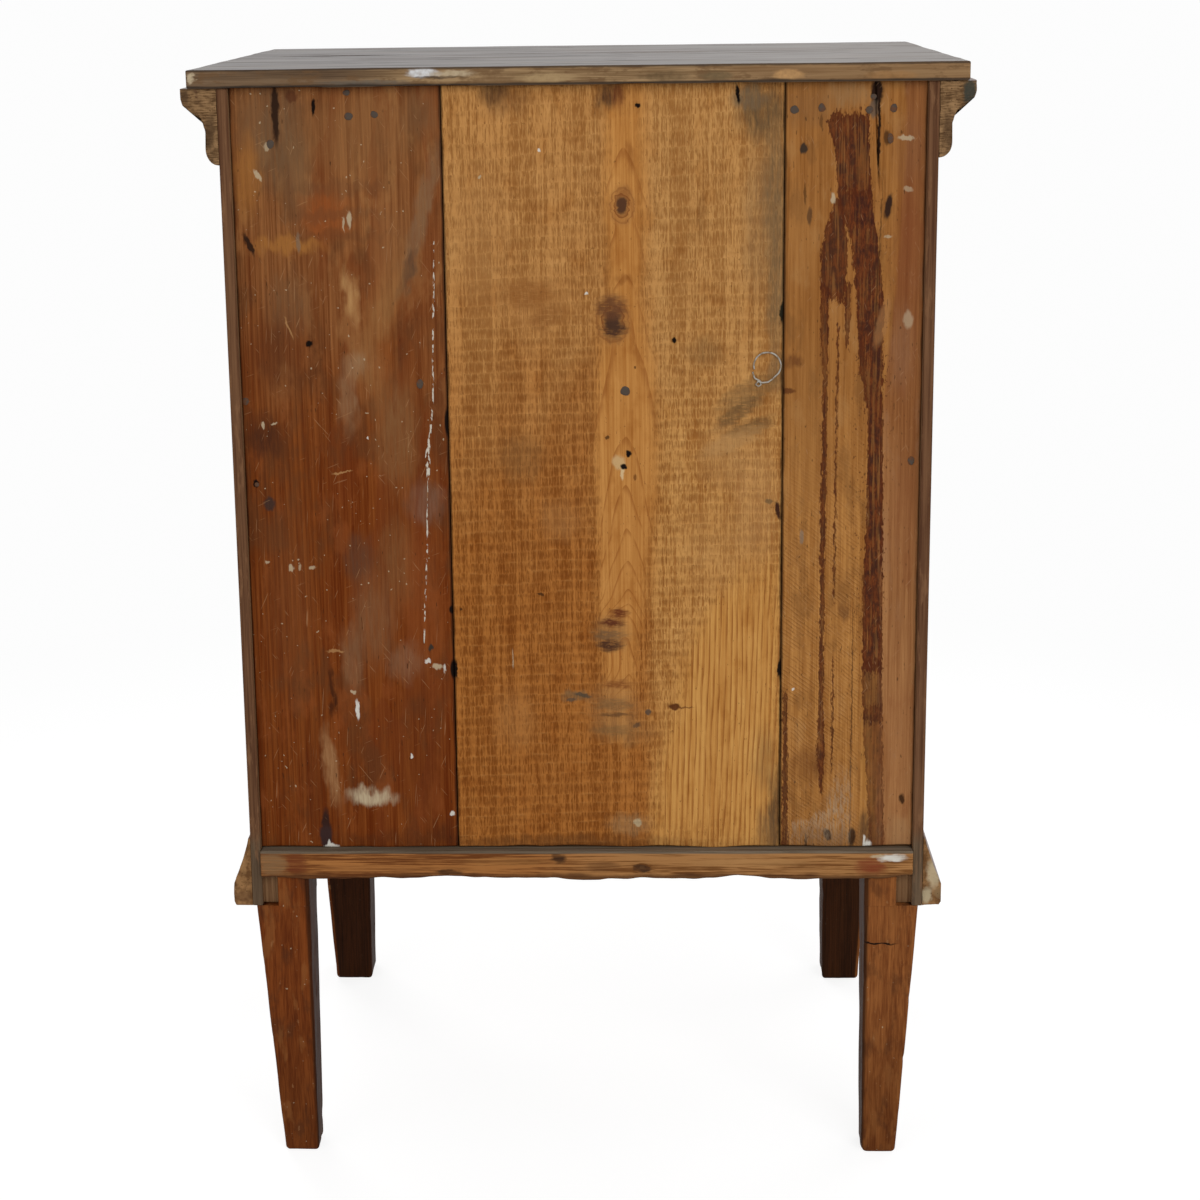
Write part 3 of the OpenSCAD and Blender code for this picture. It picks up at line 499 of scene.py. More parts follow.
# Runs of thin white paint down the stained board: height, lower x and higher x
PAINT_DRIPS = [
    [(700, 100.4, 101.6), (660, 101.2, 103), (640, 102.2, 104), (590, 103.4, 105), (566, 105.6, 107.6),
     (545, 107, 111.4), (532, 107.8, 110.6), (528, 109, 110)],
    [(529, 109.2, 110.2), (480, 110.4, 112.2), (430, 113.4, 115), (395, 115.2, 116.6)],
]
# Painted shade: dark ovals in the gap beside the middle board
STAINED_GAP_SHADE = [(94.5, 571, 2, 10, 1, SOOT), (94.5, 433, 2, 3, 1, SOOT), (94.5, 388, 2.2, 7, 1, SOOT)]


def honey_back():
    """Golden pine in the middle: sawn rows, a smooth flamed strip with knots, and clear straight rings."""
    s = Finish("honey_back", roughness=0.76, specular=0.05)
    tone = s.fibres(s.place, fine=1.15, broad=18.0, seed=1.0)
    # Saw marks lie closer together low down. Torn fibres stand in short tufts between two marks.
    above = s.math("MAXIMUM", s.less(s.z, 600), 0.0)
    phase = s.less(s.times(s.z, 1 / 7.7), s.times(above, above, 0.00011))
    phase = s.add(phase, s.times(s.x, 0.004), s.sway((70, 70, 26), 0.22, 14))
    row = s.math("FLOOR", phase)
    from_middle = s.math("ABSOLUTE", s.less(s.math("FRACT", phase), 0.5))
    tuft_place = s.join(s.times(s.x, 1 / 0.95), s.times(row, 7.31), s.times(s.z, 1 / 6.5))
    tuft = s.noise(1.0, tuft_place, detail=2, rough=0.6, seed=3)
    tuft = s.fade(s.add(s.times(tuft, 0.75), s.times(s.less(1.0, tone), 0.25)), 0.38, 0.66)
    tuft = s.times(tuft, s.spread(s.fade(from_middle, 0.52, 0.34), 0.74, 1.0))
    height = s.fade(s.add(s.z, s.sway((30, 30, 60), 60, 6)), 460, 700)
    right = s.fade(s.add(s.x, s.sway((30, 30, 70), 6, 8)), -40, -60)
    dark = s.mix(right, s.mix(height, (0.205, 0.062, 0.010), (0.295, 0.122, 0.031)),
                 s.mix(height, (0.310, 0.120, 0.026), (0.310, 0.133, 0.035)))
    light = s.mix(right, s.mix(height, (0.385, 0.142, 0.030), (0.490, 0.236, 0.072)),
                  s.mix(height, (0.540, 0.268, 0.078), (0.500, 0.252, 0.080)))
    colour = s.mix(tuft, light, dark)
    lines = s.times(s.fade(from_middle, 0.30, 0.50), s.patches((6, 6, 3), 0.46, 0.68, 16, 4))
    hollow = s.times(s.fade(from_middle, 0.46, 0.10), s.patches((14, 14, 5), 0.36, 0.62, 17, 3))
    sawn = s.spread(s.fade(s.z, 760, 470), 0.45, 1.0)
    colour = s.lay(colour, s.times(hollow, sawn), 0.30, (0.175, 0.050, 0.009))
    colour = s.lay(colour, s.times(lines, sawn), 0.18, (0.54, 0.26, 0.080))
    # Smooth strip with the flame of the heart
    bend = s.add(s.less(s.x, -32.5), s.sway(60, 3, 21))
    reach = s.math("POWER", s.math("ABSOLUTE", bend), 1.55)
    climb = s.add(s.z, s.times(reach, s.spread(s.noise((300, 300, 60), seed=22), 0.1, 1.1)))
    for x, z, width, tall, push in KNOT_PUSH:
        climb = s.add(climb, s.times(s.fade(s.oval(x, z, width, tall), 1.0, 0.0), push))
    phase = 0.0
    for above, below in zip(FLAME_PEAKS, FLAME_PEAKS[1:]):
        step = s.times(s.less(above, climb), 1 / (above - below))
        phase = s.add(s.clamp(step, 0.0, 1.0), phase)
    turn = s.math("FRACT", phase)
    late = s.times(s.fade(turn, 0.26, 0.0), s.fade(turn, 0.0, 0.02), s.patches((4, 4, 12), 0.25, 0.5, 18))
    strip = s.mix(tone, (0.375, 0.145, 0.030), (0.525, 0.242, 0.064))
    strip = s.lay(strip, late, 0.66, (0.245, 0.072, 0.012))
    ragged_place = s.warped((5, 5, 22), 1.6, 5.0, detail=4)
    strip_mask = s.fade(s.add(s.band(STRIP, ragged_place), s.times(tuft, -4.0)), -7.0, 7.0)
    colour = s.lay(colour, strip_mask, 0.94, strip)
    # Straight rings of the planed lower corner
    swing = s.add(s.x, s.times(s.less(s.z, 250), 0.035), s.sway((60, 60, 160), 2.4, 25))
    swing = s.add(swing, s.sway((7, 7, 60), 0.9, 35))
    straight = s.math("FRACT", s.times(swing, -1 / 3.9))
    straight = s.times(s.tooth(straight, 0.45, 0.94, 0.95), s.patches((3, 3, 30), 0.22, 0.62, 36))
    ringed = s.mix(tone, (0.445, 0.190, 0.042), (0.575, 0.290, 0.078))
    ringed = s.lay(ringed, straight, 0.9, (0.255, 0.084, 0.015))
    ring_mask = s.fade(s.add(s.band(RING_ZONE, ragged_place), s.times(tuft, -6.0)), -11.0, 9.0)
    colour = s.mix(ring_mask, colour, ringed)
    blotch = s.noise((16, 16, 30), detail=4, rough=0.6, seed=26)
    for low, high, strength, tint in HONEY_BLOTCHES:
        tinted = s.mix(1.0, colour, tint, "MULTIPLY")
        colour = s.lay(colour, s.fade(blotch, low, high), strength, tinted)
    near = s.warped((6, 6, 12), 2.6, 4.0, detail=4)
    ragged = s.spread(s.noise((1.5, 1.5, 12), detail=4, rough=0.6, seed=19), 0.1, 1.6)
    colour = s.marks(colour, HONEY_CLOUDS, near, 0.6, ragged)
    knot_place = s.warped((6, 6, 4), 1.6, 1.0, seed=28)
    for row in KNOTS:
        colour = s.knot(colour, *row, knot_place)
    # Torn by the saw: these show as short level fissures
    fissure = s.noise((6, 6, 1.1), detail=4, rough=0.65, seed=38)
    fissure = s.clamp(s.spread(fissure, -1.0, 3.0), 0.1, 1.0)
    colour = s.marks(colour, TORN_KNOTS, s.warped((9, 9, 3), 3.4, 1.8, seed=39, detail=4), 0.5, fissure)
    colour = s.marks(colour, HONEY_SPOTS, s.warped((2.6, 2.6, 4), 0.8, 1.0, seed=23), 0.3)
    colour = s.lay(colour, s.patches((1.3, 1.3, 3), 0.72, 0.78, 27, 1), 0.55, (0.130, 0.045, 0.012))
    # Painted shade along the board's upright edges
    colour = s.painted_gap_shade(colour, "back_board_middle")
    smooth = s.math("MAXIMUM", strip_mask, ring_mask)
    relief = s.add(s.times(tuft, -0.9), s.times(lines, 0.8), s.times(hollow, -0.8))
    relief = s.times(relief, s.spread(smooth, 1.0, 0.12))
    s.bump(s.add(relief, s.times(tone, 0.3), s.times(straight, ring_mask, -0.4)), 0.34)
    return s.done(colour, s.spread(smooth, 0.82, 0.60))


# Heights at which the flame of the strip comes to a peak
FLAME_PEAKS = [900, 836, 764, 720, 676, 640, 560, 525, 493, 469, 448,
               437, 425, 404, 384, 372, 352, 335, 300, 250, 200]

# Knots of the strip push the flame aside: place, half sizes and push
KNOT_PUSH = [(-31, 724, 14, 26, -22), (-24, 644, 22, 34, -30),
             (-19, 415, 22, 30, -24), (-21.5, 358, 24, 30, -20)]

# Limits, strength and tint of the darker and the paler blotches
HONEY_BLOTCHES = [(0.50, 0.68, 0.50, (0.72, 0.58, 0.42)), (0.46, 0.30, 0.45, (1.18, 1.28, 1.42))]

# Bands as height, lower x and higher x
STRIP = [(812, -45, -21), (764, -47, -19), (722, -48, -16), (690, -48, -18), (664, -45, -19),
         (625, -50, -14), (600, -54, -9), (540, -56, -8), (480, -52, -10), (440, -48, -10),
         (400, -42, -12), (370, -38, -14), (330, -30, -22)]
RING_ZONE = [(470, -140, -118), (430, -143.5, -88), (398, -143.5, -73), (362, -143.5, -67),
             (316, -143.5, -54), (240, -143.5, -50)]

KNOTS = [
    (-30.5, 723.5, 8.5, 13, KNOT, RIM), (-23.5, 643, 12, 16, (0.072, 0.034, 0.018), RIM),
]

TORN_KNOTS = [
    (-21, 415, 12, 13, 0.55, (0.235, 0.120, 0.046)), (-26, 430, 7, 3.4, 0.95, (0.125, 0.030, 0.010)),
    (-22, 422.5, 9, 2.6, 0.95, (0.10, 0.026, 0.011)), (-18, 413, 10, 3.6, 0.85, (0.165, 0.086, 0.038)),
    (-19, 405.5, 8, 4.4, 0.95, (0.062, 0.025, 0.014)), (-22, 359, 18, 18, 0.5, (0.34, 0.165, 0.058)),
    (-22, 361, 12, 4.6, 0.7, (0.190, 0.098, 0.038)), (-23, 353, 12, 1.6, 0.8, (0.110, 0.050, 0.020)),
    (-21, 341, 14, 3, 0.6, (0.190, 0.098, 0.036)), (-25, 376, 9, 3, 0.8, (0.19, 0.058, 0.014)),
    (36, 662, 17, 10, 0.6, (0.235, 0.082, 0.018)), (23, 646, 12, 7, 0.55, (0.210, 0.072, 0.016), 30),
    (-23, 652, 10, 9, 0.85, (0.12, 0.046, 0.020)), (-24, 637, 8, 6, 0.95, (0.060, 0.028, 0.016)),
    (-119, 591, 23, 8, 0.7, (0.220, 0.118, 0.044), 30), (-112, 577, 20, 5, 0.75, (0.150, 0.080, 0.032), 34),
    (-120, 566, 17, 5, 0.75, (0.130, 0.068, 0.027), 20), (-108, 556, 22, 6, 0.7, (0.44, 0.235, 0.085), 24),
]

HONEY_CLOUDS = [
    (-36.6, 757, 3.4, 9, 0.7, (0.24, 0.080, 0.016)), (-31.6, 731, 4.6, 5.5, 0.8, (0.15, 0.040, 0.010)),
    (-24, 629.5, 5, 3, 0.7, KNOT), (-31, 672, 5, 3, 0.6, (0.23, 0.078, 0.016)),
    (30, 655, 22, 20, 0.5, (0.43, 0.20, 0.062)), (57, 801, 9, 7, 0.9, (0.075, 0.034, 0.015)),
    (48, 796, 16, 9, 0.5, (0.16, 0.070, 0.026)), (-22, 799, 8.5, 8, 0.9, (0.065, 0.030, 0.016)),
    (-29, 797, 3, 9, 0.7, (0.15, 0.040, 0.012)), (-128, 786, 15, 17, 0.9, (0.115, 0.068, 0.032)),
    (-118, 797, 12, 7, 0.8, (0.15, 0.105, 0.060)), (-136, 735, 7.5, 40, 0.85, (0.175, 0.103, 0.047)),
    (-138, 670, 6.5, 44, 0.85, (0.175, 0.103, 0.047)), (-124, 710, 9, 50, 0.4, (0.22, 0.13, 0.06)),
    (-100, 545, 14, 22, 0.5, (0.42, 0.215, 0.075)), (-138, 606, 5, 16, 0.6, (0.19, 0.12, 0.06)),
    (-88, 620, 12, 9, 0.5, (0.20, 0.098, 0.034)),
    (-86, 716, 3, 16, 0.4, (0.20, 0.085, 0.025)), (-139, 275, 4.5, 28, 0.9, (0.100, 0.052, 0.023)),
    (-134, 262, 7, 18, 0.65, (0.140, 0.078, 0.036)), (-132, 318, 8, 22, 0.4, (0.20, 0.115, 0.045)),
    (6, 366.5, 9, 3.4, 0.8, (0.17, 0.105, 0.05)), (-28, 340, 20, 9, 0.5, (0.28, 0.145, 0.052)),
    (-33, 268, 15, 8, 0.5, (0.30, 0.185, 0.085)), (-125, 510, 16, 40, 0.4, (0.47, 0.25, 0.095)),
    (-95, 480, 26, 30, 0.35, (0.46, 0.235, 0.078)), (70, 700, 20, 50, 0.3, (0.44, 0.22, 0.075)),
    (42, 545, 16, 16, 0.5, (0.20, 0.092, 0.030)), (16, 500, 14, 14, 0.4, (0.40, 0.185, 0.060)),
    (50, 350, 14, 22, 0.4, (0.38, 0.170, 0.052)), (15, 254, 80, 5, 0.6, (0.12, 0.045, 0.014)),
]

HONEY_SPOTS = [
    (-110.5, 799, 1.4, 6.5, 1, SOOT, 6), (-42, 791.8, 1.9, 1.9, 1, SOOT), (-33.8, 547.5, 2, 2.6, 1, SOOT, 20),
    (-27, 541, 4.4, 5.4, 0.95, (0.52, 0.33, 0.15), 20), (-29.5, 533, 1.4, 4.4, 0.95, (0.60, 0.42, 0.22)),
    (-30.5, 537.7, 2.2, 1.8, 1, SOOT), (-38.5, 530, 1.6, 2, 0.8, (0.15, 0.05, 0.012)),
    (-66.5, 628.5, 1.7, 1.9, 1, SOOT), (-65.9, 358.8, 4.2, 2.6, 0.95, (0.10, 0.028, 0.008)),
    (-74, 358.5, 6, 0.7, 0.7, (0.12, 0.04, 0.012)),
    (-46.8, 355, 2, 2.2, 0.9, (0.10, 0.065, 0.045)), (-38.5, 344.6, 3, 1.8, 0.8, (0.11, 0.060, 0.032), 30),
    (1, 368, 6, 1.6, 0.85, (0.085, 0.062, 0.040), -12), (9, 364.5, 4, 1.5, 0.8, (0.10, 0.07, 0.045)),
    (-140, 505.5, 1.6, 7, 1, (0.05, 0.018, 0.010), 12), (-134, 512, 3, 2, 0.7, (0.12, 0.075, 0.038)),
    (-39, 269.5, 3, 3, 0.7, (0.50, 0.40, 0.24), 20), (26, 762, 1.2, 1.4, 0.9, PAINT),
    (68, 744, 1, 1.2, 0.8, PUTTY), (-5, 662, 1.1, 1.1, 0.9, PAINT), (-18.5, 559, 1.2, 1.2, 0.8, DARK),
    (-39, 609.5, 1, 1, 0.8, DARK),
    # The first three ovals of this row, on the board's edges, are painted shade in the gaps between boards
    (93, 388, 1.6, 7, 1, SOOT), (-142.4, 388, 1.8, 7, 1, SOOT), (-142, 648, 1.8, 7, 1, (0.02, 0.018, 0.01)),
    (88, 433, 1, 1, 0.8, DARK), (51, 396, 0.6, 7, 0.6, PUTTY), (30, 444, 2.4, 0.8, 0.8, DARK, -20),
]


def streaked_back():
    """Golden-brown board with runs of dark stain, on the picture's right."""
    s = Finish("streaked_back", roughness=0.66, specular=0.04)
    tone = s.fibres(s.place, fine=1.1, broad=13.0, seed=4.0)
    cloud = s.noise((15, 15, 40), detail=5, rough=0.6, seed=6)
    low_part = s.fade(s.add(s.z, s.sway((30, 30, 60), 50, 5)), 620, 420)
    tan = s.mix(tone, (0.215, 0.078, 0.017), (0.350, 0.150, 0.040))
    tan = s.mix(low_part, tan, s.mix(tone, (0.265, 0.102, 0.023), (0.460, 0.212, 0.058)))
    red = s.mix(tone, (0.168, 0.056, 0.017), (0.270, 0.106, 0.034))
    red = s.mix(low_part, red, s.mix(tone, (0.245, 0.098, 0.034), (0.400, 0.188, 0.070)))
    edge = s.add(s.x, s.sway((20, 20, 70), 2.5, 8), s.times(s.fade(s.z, 560, 720), 12.0))
    outer = s.fade(edge, -211, -214.5)
    colour = s.mix(outer, tan, red)
    deep = s.mix(outer, (0.165, 0.068, 0.020), (0.205, 0.066, 0.022))
    colour = s.lay(colour, s.fade(cloud, 0.52, 0.68), 0.5, deep)
    light = s.mix(outer, (0.375, 0.185, 0.062), (0.30, 0.150, 0.072))
    colour = s.lay(colour, s.fade(cloud, 0.46, 0.30), 0.45, light)
    # Slanting saw marks, low down on the inner half
    slant = s.math("FRACT", s.add(s.times(s.z, 1 / 3.1), s.times(s.x, -1 / 3.9), s.sway(30, 0.5, 15)))
    low_half = s.times(s.fade(s.z, 640, 430), s.fade(s.x, -206, -196))
    pale_cut = s.times(s.fade(slant, 0.30, 0.05), s.patches((7, 7, 4), 0.44, 0.60, 18, 3), low_half)
    slant = s.times(s.tooth(slant, 0.45, 0.8, 0.85), s.patches(6, 0.38, 0.60, 17, 3), low_half)
    colour = s.lay(colour, slant, 0.45, (0.170, 0.058, 0.013))
    colour = s.lay(colour, pale_cut, 0.40, (0.52, 0.27, 0.10))
    near = s.warped((5, 5, 14), 2.2, 5.0, detail=4)
    grit = s.noise((1.3, 1.3, 8), detail=4, rough=0.65, seed=19)
    colour = s.marks(colour, STREAK_CLOUDS, near, 0.6, s.spread(grit, 0.1, 1.6))
    # Stain ran down and dried: a grainy dark middle with a darker rim
    run_place = s.warped((2.4, 2.4, 7), 1.0, 4.0, seed=22, detail=4)
    fray = s.sway((0.9, 0.9, 3), 1.1, 24, detail=4)
    clot = s.patches((4.5, 4.5, 8), 0.40, 0.62, 34, 5, 0.65)
    thin = s.spread(s.patches((1.7, 1.7, 40), 0.36, 0.54, 46, 3), 0.60, 1.0)
    for rows, strength, tint in RUNS:
        inside = s.add(s.band(rows, run_place), fray)
        rim = s.times(s.fade(inside, -0.2, 0.5), s.fade(inside, 2.2, 0.9))
        body = s.mix(clot, s.mix(s.fade(grit, 0.36, 0.62), PLUM, tint), (0.042, 0.013, 0.009))
        colour = s.lay(colour, s.times(s.fade(inside, -0.3, 0.7), thin), strength, body)
        colour = s.lay(colour, rim, strength * 0.6, (0.085, 0.020, 0.006))
    near_run = s.fade(s.oval(-206, 540, 16, 210), 1.1, 0.7)
    drops = s.times(s.patches((1.3, 1.3, 2.2), 0.66, 0.70, 44, 1), near_run)
    colour = s.lay(colour, drops, 0.75, (0.080, 0.020, 0.008))
    colour = s.marks(colour, STREAK_SPOTS, s.warped((2.6, 2.6, 5), 0.8, 1.2, seed=25), 0.3)
    pale = s.times(s.fade(s.band(PALE_PATCH, near), -2.0, 8.0), s.fade(grit, 0.38, 0.62))
    colour = s.lay(colour, pale, 0.62, (0.38, 0.275, 0.175))
    for angle in (40, -20):
        colour = s.lay(colour, s.scratches(angle, 0.9, 12, 0.70, 60 + angle), 0.4, (0.42, 0.24, 0.12))
    colour = s.lay(colour, s.patches((1.5, 1.5, 5), 0.71, 0.77, 27, 1), 0.6, DARK)
    # Painted shade along the board's upright edges
    colour = s.painted_gap_shade(colour, "back_board_left")
    s.bump(s.add(s.times(tone, 0.8), s.times(slant, -0.7), s.times(grit, 0.3)), 0.24)
    return s.done(colour, s.spread(cloud, 0.52, 0.74))


# Runs of stain: rows of height, lower x and higher x, then strength and tint
RUNS = [
    ([(786, -199, -176), (782, -200.6, -171.4), (761, -201.3, -176.9), (728, -203.4, -179.7),
      (706, -206, -184)], 0.95, (0.135, 0.034, 0.010)),
    ([(734, -203, -184), (714, -205.4, -185.2), (689, -209.6, -190.1), (664, -211.8, -192.9),
      (654, -213.2, -193.6), (619, -213.2, -195.6), (604, -213.2, -196.6), (590, -213.2, -201.3),
      (562, -214, -203.1), (506, -214.8, -203), (445, -215.5, -201), (405, -216, -201.2),
      (384, -216.3, -201.8)], 0.97, OXBLOOD),
    ([(395, -216.3, -201.5), (366, -216.8, -202), (346, -217.2, -203.4)], 0.72, (0.110, 0.030, 0.010)),
    ([(360, -217, -202.6), (340, -217.4, -203), (300, -218.6, -206), (243, -220, -209.9)],
     0.62, (0.150, 0.046, 0.016)),
    ([(727, -181, -177.5), (716, -184, -175.5), (705, -186, -171.2), (690, -187.4, -168.4),
      (664, -186.6, -168.3), (655, -186, -169)], 0.92, (0.130, 0.033, 0.010)),
    ([(668, -175.4, -169), (620, -174.6, -168.9), (600, -174.5, -171), (507, -174.3, -170.1),
      (434, -174.2, -170.6), (360, -174.1, -170.5), (326, -175.6, -169.4), (308, -175.2, -170.6),
      (292, -173.8, -172.6)], 0.9, (0.185, 0.055, 0.014)),
    ([(668, -190.2, -185), (640, -189.8, -185.6), (622, -188.4, -186.4)], 0.9, OXBLOOD),
    ([(640, -182.2, -180.4), (560, -181.6, -180), (438, -181.6, -179.9)], 0.85, OXBLOOD),
    ([(394, -181.3, -180), (340, -181.6, -179.8), (308, -181.2, -180.2)], 0.8, OXBLOOD),
    ([(640, -198.4, -196.2), (600, -201.6, -199), (580, -203, -201)], 0.8, OXBLOOD),
    ([(370, -148, -144.5), (250, -149.5, -145)], 0.8, (0.075, 0.020, 0.008)),
]
PALE_PATCH = [(312, -196, -184), (280, -197, -174), (268, -197, -150), (246, -197, -149)]

STREAK_CLOUDS = [
    (-187, 720, 14, 4, 0.8, (0.27, 0.105, 0.026)), (-160, 790, 18, 14, 0.5, (0.20, 0.095, 0.036)),
    (-186, 799, 14, 8, 0.6, (0.28, 0.16, 0.07)), (-156, 700, 8, 30, 0.4, (0.37, 0.17, 0.05)),
    (-229, 760, 10, 22, 0.5, (0.21, 0.085, 0.036)), (-229, 690, 10, 50, 0.5, (0.200, 0.060, 0.021)),
    (-226, 620, 8, 26, 0.5, (0.27, 0.13, 0.065)), (-160, 560, 14, 60, 0.35, (0.35, 0.16, 0.046)),
    (-228, 500, 10, 40, 0.5, (0.235, 0.088, 0.032)), (-228, 330, 10, 50, 0.5, (0.30, 0.125, 0.045)),
    (-213, 330, 6, 30, 0.7, (0.24, 0.085, 0.022)), (-165, 315, 14, 12, 0.6, (0.150, 0.052, 0.015)),
    (-205, 330, 3, 40, 0.7, (0.34, 0.15, 0.035)), (-188, 430, 4, 7, 0.6, (0.115, 0.044, 0.016)),
    (-181, 256, 30, 8, 0.5, (0.14, 0.070, 0.032)), (-206, 262, 5, 14, 0.8, (0.07, 0.035, 0.018)),
    (-230, 262, 8, 12, 0.5, (0.34, 0.19, 0.085)), (-150, 612, 6, 5, 0.7, (0.11, 0.035, 0.012)),
]

STREAK_SPOTS = [
    (-205.8, 800, 4.2, 9, 1, TAR), (-204, 788, 3.6, 6, 0.8, (0.10, 0.075, 0.055)),
    (-207.4, 774, 0.9, 32, 1, (0.018, 0.008, 0.004)), (-209, 690, 0.6, 50, 0.5, DARK, -2),
    (-155.8, 761.5, 2.6, 4, 1, (0.045, 0.028, 0.018)), (-214.8, 721, 2.4, 9, 1, (0.035, 0.016, 0.010), -10),
    (-160.5, 714.6, 1.8, 6, 0.8, (0.085, 0.040, 0.018)), (-157, 730, 1, 7, 0.6, DARK),
    (-213, 768, 2.2, 5, 0.8, DARK), (-226, 768, 5.5, 1.6, 0.7, PUTTY, -4),
    (-228, 733, 3, 2, 0.5, PUTTY), (-215, 700, 2.6, 1.2, 0.6, PUTTY),
    (-212, 640, 4, 18, 0.5, (0.34, 0.16, 0.06), -14), (-194.6, 340, 0.45, 94, 0.7, (0.060, 0.024, 0.010)),
    (-178.2, 260, 2.6, 4.6, 0.95, (0.035, 0.018, 0.012), 16), (-162.3, 254, 0.9, 6, 0.9, DARK),
    (-196, 258, 2.4, 8, 0.9, TAR), (-208, 250, 2.6, 6, 1, PAINT), (-205, 254, 1, 5, 0.9, PAINT),
    (-168, 780, 1.2, 5, 0.5, DARK), (-152, 372, 1, 1.2, 0.8, PAINT),
    (-157, 486, 1.4, 5, 0.6, (0.20, 0.16, 0.12)), (-232, 288, 2.2, 4, 0.95, DARK, 12),
    (-176.6, 727, 1.6, 3.4, 0.8, PUTTY), (-146, 592, 6, 2.2, 0.8, (0.10, 0.03, 0.01)),
    (-230, 642, 3.4, 6, 0.5, PUTTY),
]


def top_wood():
    """Dark varnish, dusty and scratched, with a painted sheen towards -X and raw wood on the rear edge."""
    low, high = box_mm("top_rear_board")
    s = Finish("top_wood", roughness=0.36, specular=0.5)
    place = s.grain_place("x")
    tone = s.fibres(place, fine=1.4, broad=20.0, seed=3.0)
    colour = s.mix(tone, (0.022, 0.013, 0.009), (0.055, 0.034, 0.025))
    dust = s.noise((120, 60, 60), detail=4, seed=5)
    colour = s.lay(colour, s.fade(dust, 0.4, 0.7), 0.5, (0.108, 0.074, 0.052))
    colour = s.lay(colour, s.patches(70, 0.62, 0.70, 12, 3), 0.4, (0.085, 0.040, 0.020))
    # Painted sheen: lighter, greyer varnish towards -X, in place of a reflection
    colour = s.lay(colour, s.fade(s.x, 80, -220), 0.36, (0.225, 0.185, 0.155))
    black = s.patches((60, 9, 30), 0.64, 0.70, 13, 3)
    colour = s.lay(colour, black, 0.8, SOOT)
    rub = s.patches((200, 12, 30), 0.54, 0.66, 8, 3)
    rough = s.spread(s.noise((90, 30, 30), detail=3, seed=14), 0.32, 0.46)
    rough = s.add(rough, s.times(rub, 0.16), s.times(black, 0.2))
    # The rear edge was never varnished
    bare_tone = s.fibres(place, fine=0.9, broad=7.0, seed=6.0)
    bare = s.mix(bare_tone, (0.120, 0.060, 0.020), (0.330, 0.210, 0.100))
    bare = s.lay(bare, s.fade(s.x, -60, -150), 0.5, (0.200, 0.100, 0.038))
    third = s.fade(s.add(s.x, s.sway(60, 16, 9)), 120, 165)
    bare = s.mix(third, bare, s.mix(bare_tone, (0.062, 0.032, 0.013), (0.165, 0.100, 0.052)))
    bare = s.lay(bare, s.patches((17, 9, 7), 0.50, 0.62, 10, 4, 0.65), 0.7, (0.125, 0.062, 0.022))
    near = s.warped((7, 6, 3), 3.0, 0.9, detail=4)
    bare = s.marks(bare, TOP_EDGE_MARKS, near, 0.4, s.spread(s.noise(3, detail=3, seed=11), 0.2, 1.6))
    wavy = s.add(s.z, s.sway((14, 9, 9), 0.4, 13, detail=3))
    bare = s.lay(bare, s.fade(wavy, high[2] - 2.0, high[2] - 1.0), 0.8, (0.040, 0.024, 0.014))
    wavy = s.add(s.z, s.sway((30, 9, 9), 0.7, 17, detail=3))
    bare = s.lay(bare, s.fade(wavy, low[2] + 2.6, low[2] + 1.0), 0.9, (0.020, 0.012, 0.007))
    is_edge = s.fade(s.y, high[1] - 1.6, high[1] - 1.1)
    colour = s.mix(is_edge, colour, bare)
    under = s.fade(s.z, low[2] + 0.5, low[2] + 0.2)
    colour = s.mix(under, colour, (0.13, 0.075, 0.038))
    rough = s.mix(s.math("MAXIMUM", is_edge, under), rough, MATTE)
    worn = s.times(s.edge_wear(2.2), s.patches(14, 0.42, 0.6, 21, 3), s.less(1.0, is_edge))
    colour = s.lay(colour, worn, 0.55, (0.14, 0.080, 0.042))
    s.bump(s.add(s.times(tone, 0.35), s.times(dust, 0.2)), 0.12)
    return s.done(colour, rough)


TOP_EDGE_MARKS = [
    (105.5, 816.2, 10, 3.2, 1, (0.60, 0.60, 0.60)), (84, 815.5, 14, 2.2, 0.8, PUTTY),
    (94, 813, 16, 1, 0.7, TAR), (264.5, 814, 2.4, 3.6, 1, PUTTY), (-145, 812, 9, 3.4, 0.8, BARE),
    (-60, 812, 16, 3, 0.7, (0.10, 0.058, 0.022)), (20, 812, 18, 3.2, 0.8, (0.37, 0.25, 0.12)),
    (-215, 811, 16, 3, 0.6, (0.30, 0.15, 0.05)), (55, 811, 14, 2.6, 0.7, (0.15, 0.078, 0.030)),
    (-96, 812, 10, 3, 0.8, (0.12, 0.078, 0.034)), (145, 810, 30, 1.6, 0.6, (0.11, 0.095, 0.075)),
]


def case_wood(name, along, dark=1.0, gloss=0.36):
    """Aged walnut stain under worn varnish; the grain runs along the given axis."""
    s = Finish(name, roughness=gloss, specular=0.2)
    place = s.grain_place(along)
    tone = s.fibres(place, fine=1.2, broad=15.0, seed=3.0)
    ring = s.rings(place, (14, -330, 0), 0.035, 5.5, sway=9.0, seed=4.0)
    deep, mid, vein, warm = (tuple(c * dark for c in tint) for tint in CASE_TINTS)
    colour = s.lay(s.mix(tone, deep, mid), ring, 0.6, vein)
    pores = s.patches((0.7, 0.7, 9), 0.64, 0.72, 6, 1, place=place)
    colour = s.lay(colour, pores, 0.65, SOOT)
    colour = s.lay(colour, s.patches(60, 0.46, 0.66, 9, 5, 0.6), 0.45, warm)
    wear = s.times(s.edge_wear(2.4), s.patches((30, 30, 60), 0.30, 0.62, 12, 4))
    colour = s.lay(colour, wear, 0.6, (0.25, 0.115, 0.046))
    colour = s.lay(colour, s.patches((26, 26, 5), 0.66, 0.71, 15, 4), 0.3, (0.19, 0.10, 0.052))
    rough = s.spread(s.noise(45, detail=3, seed=18), gloss - 0.06, gloss + 0.14)
    s.bump(s.add(s.times(tone, 0.5), s.times(pores, -0.9)), 0.10)
    return s, colour, rough, tone


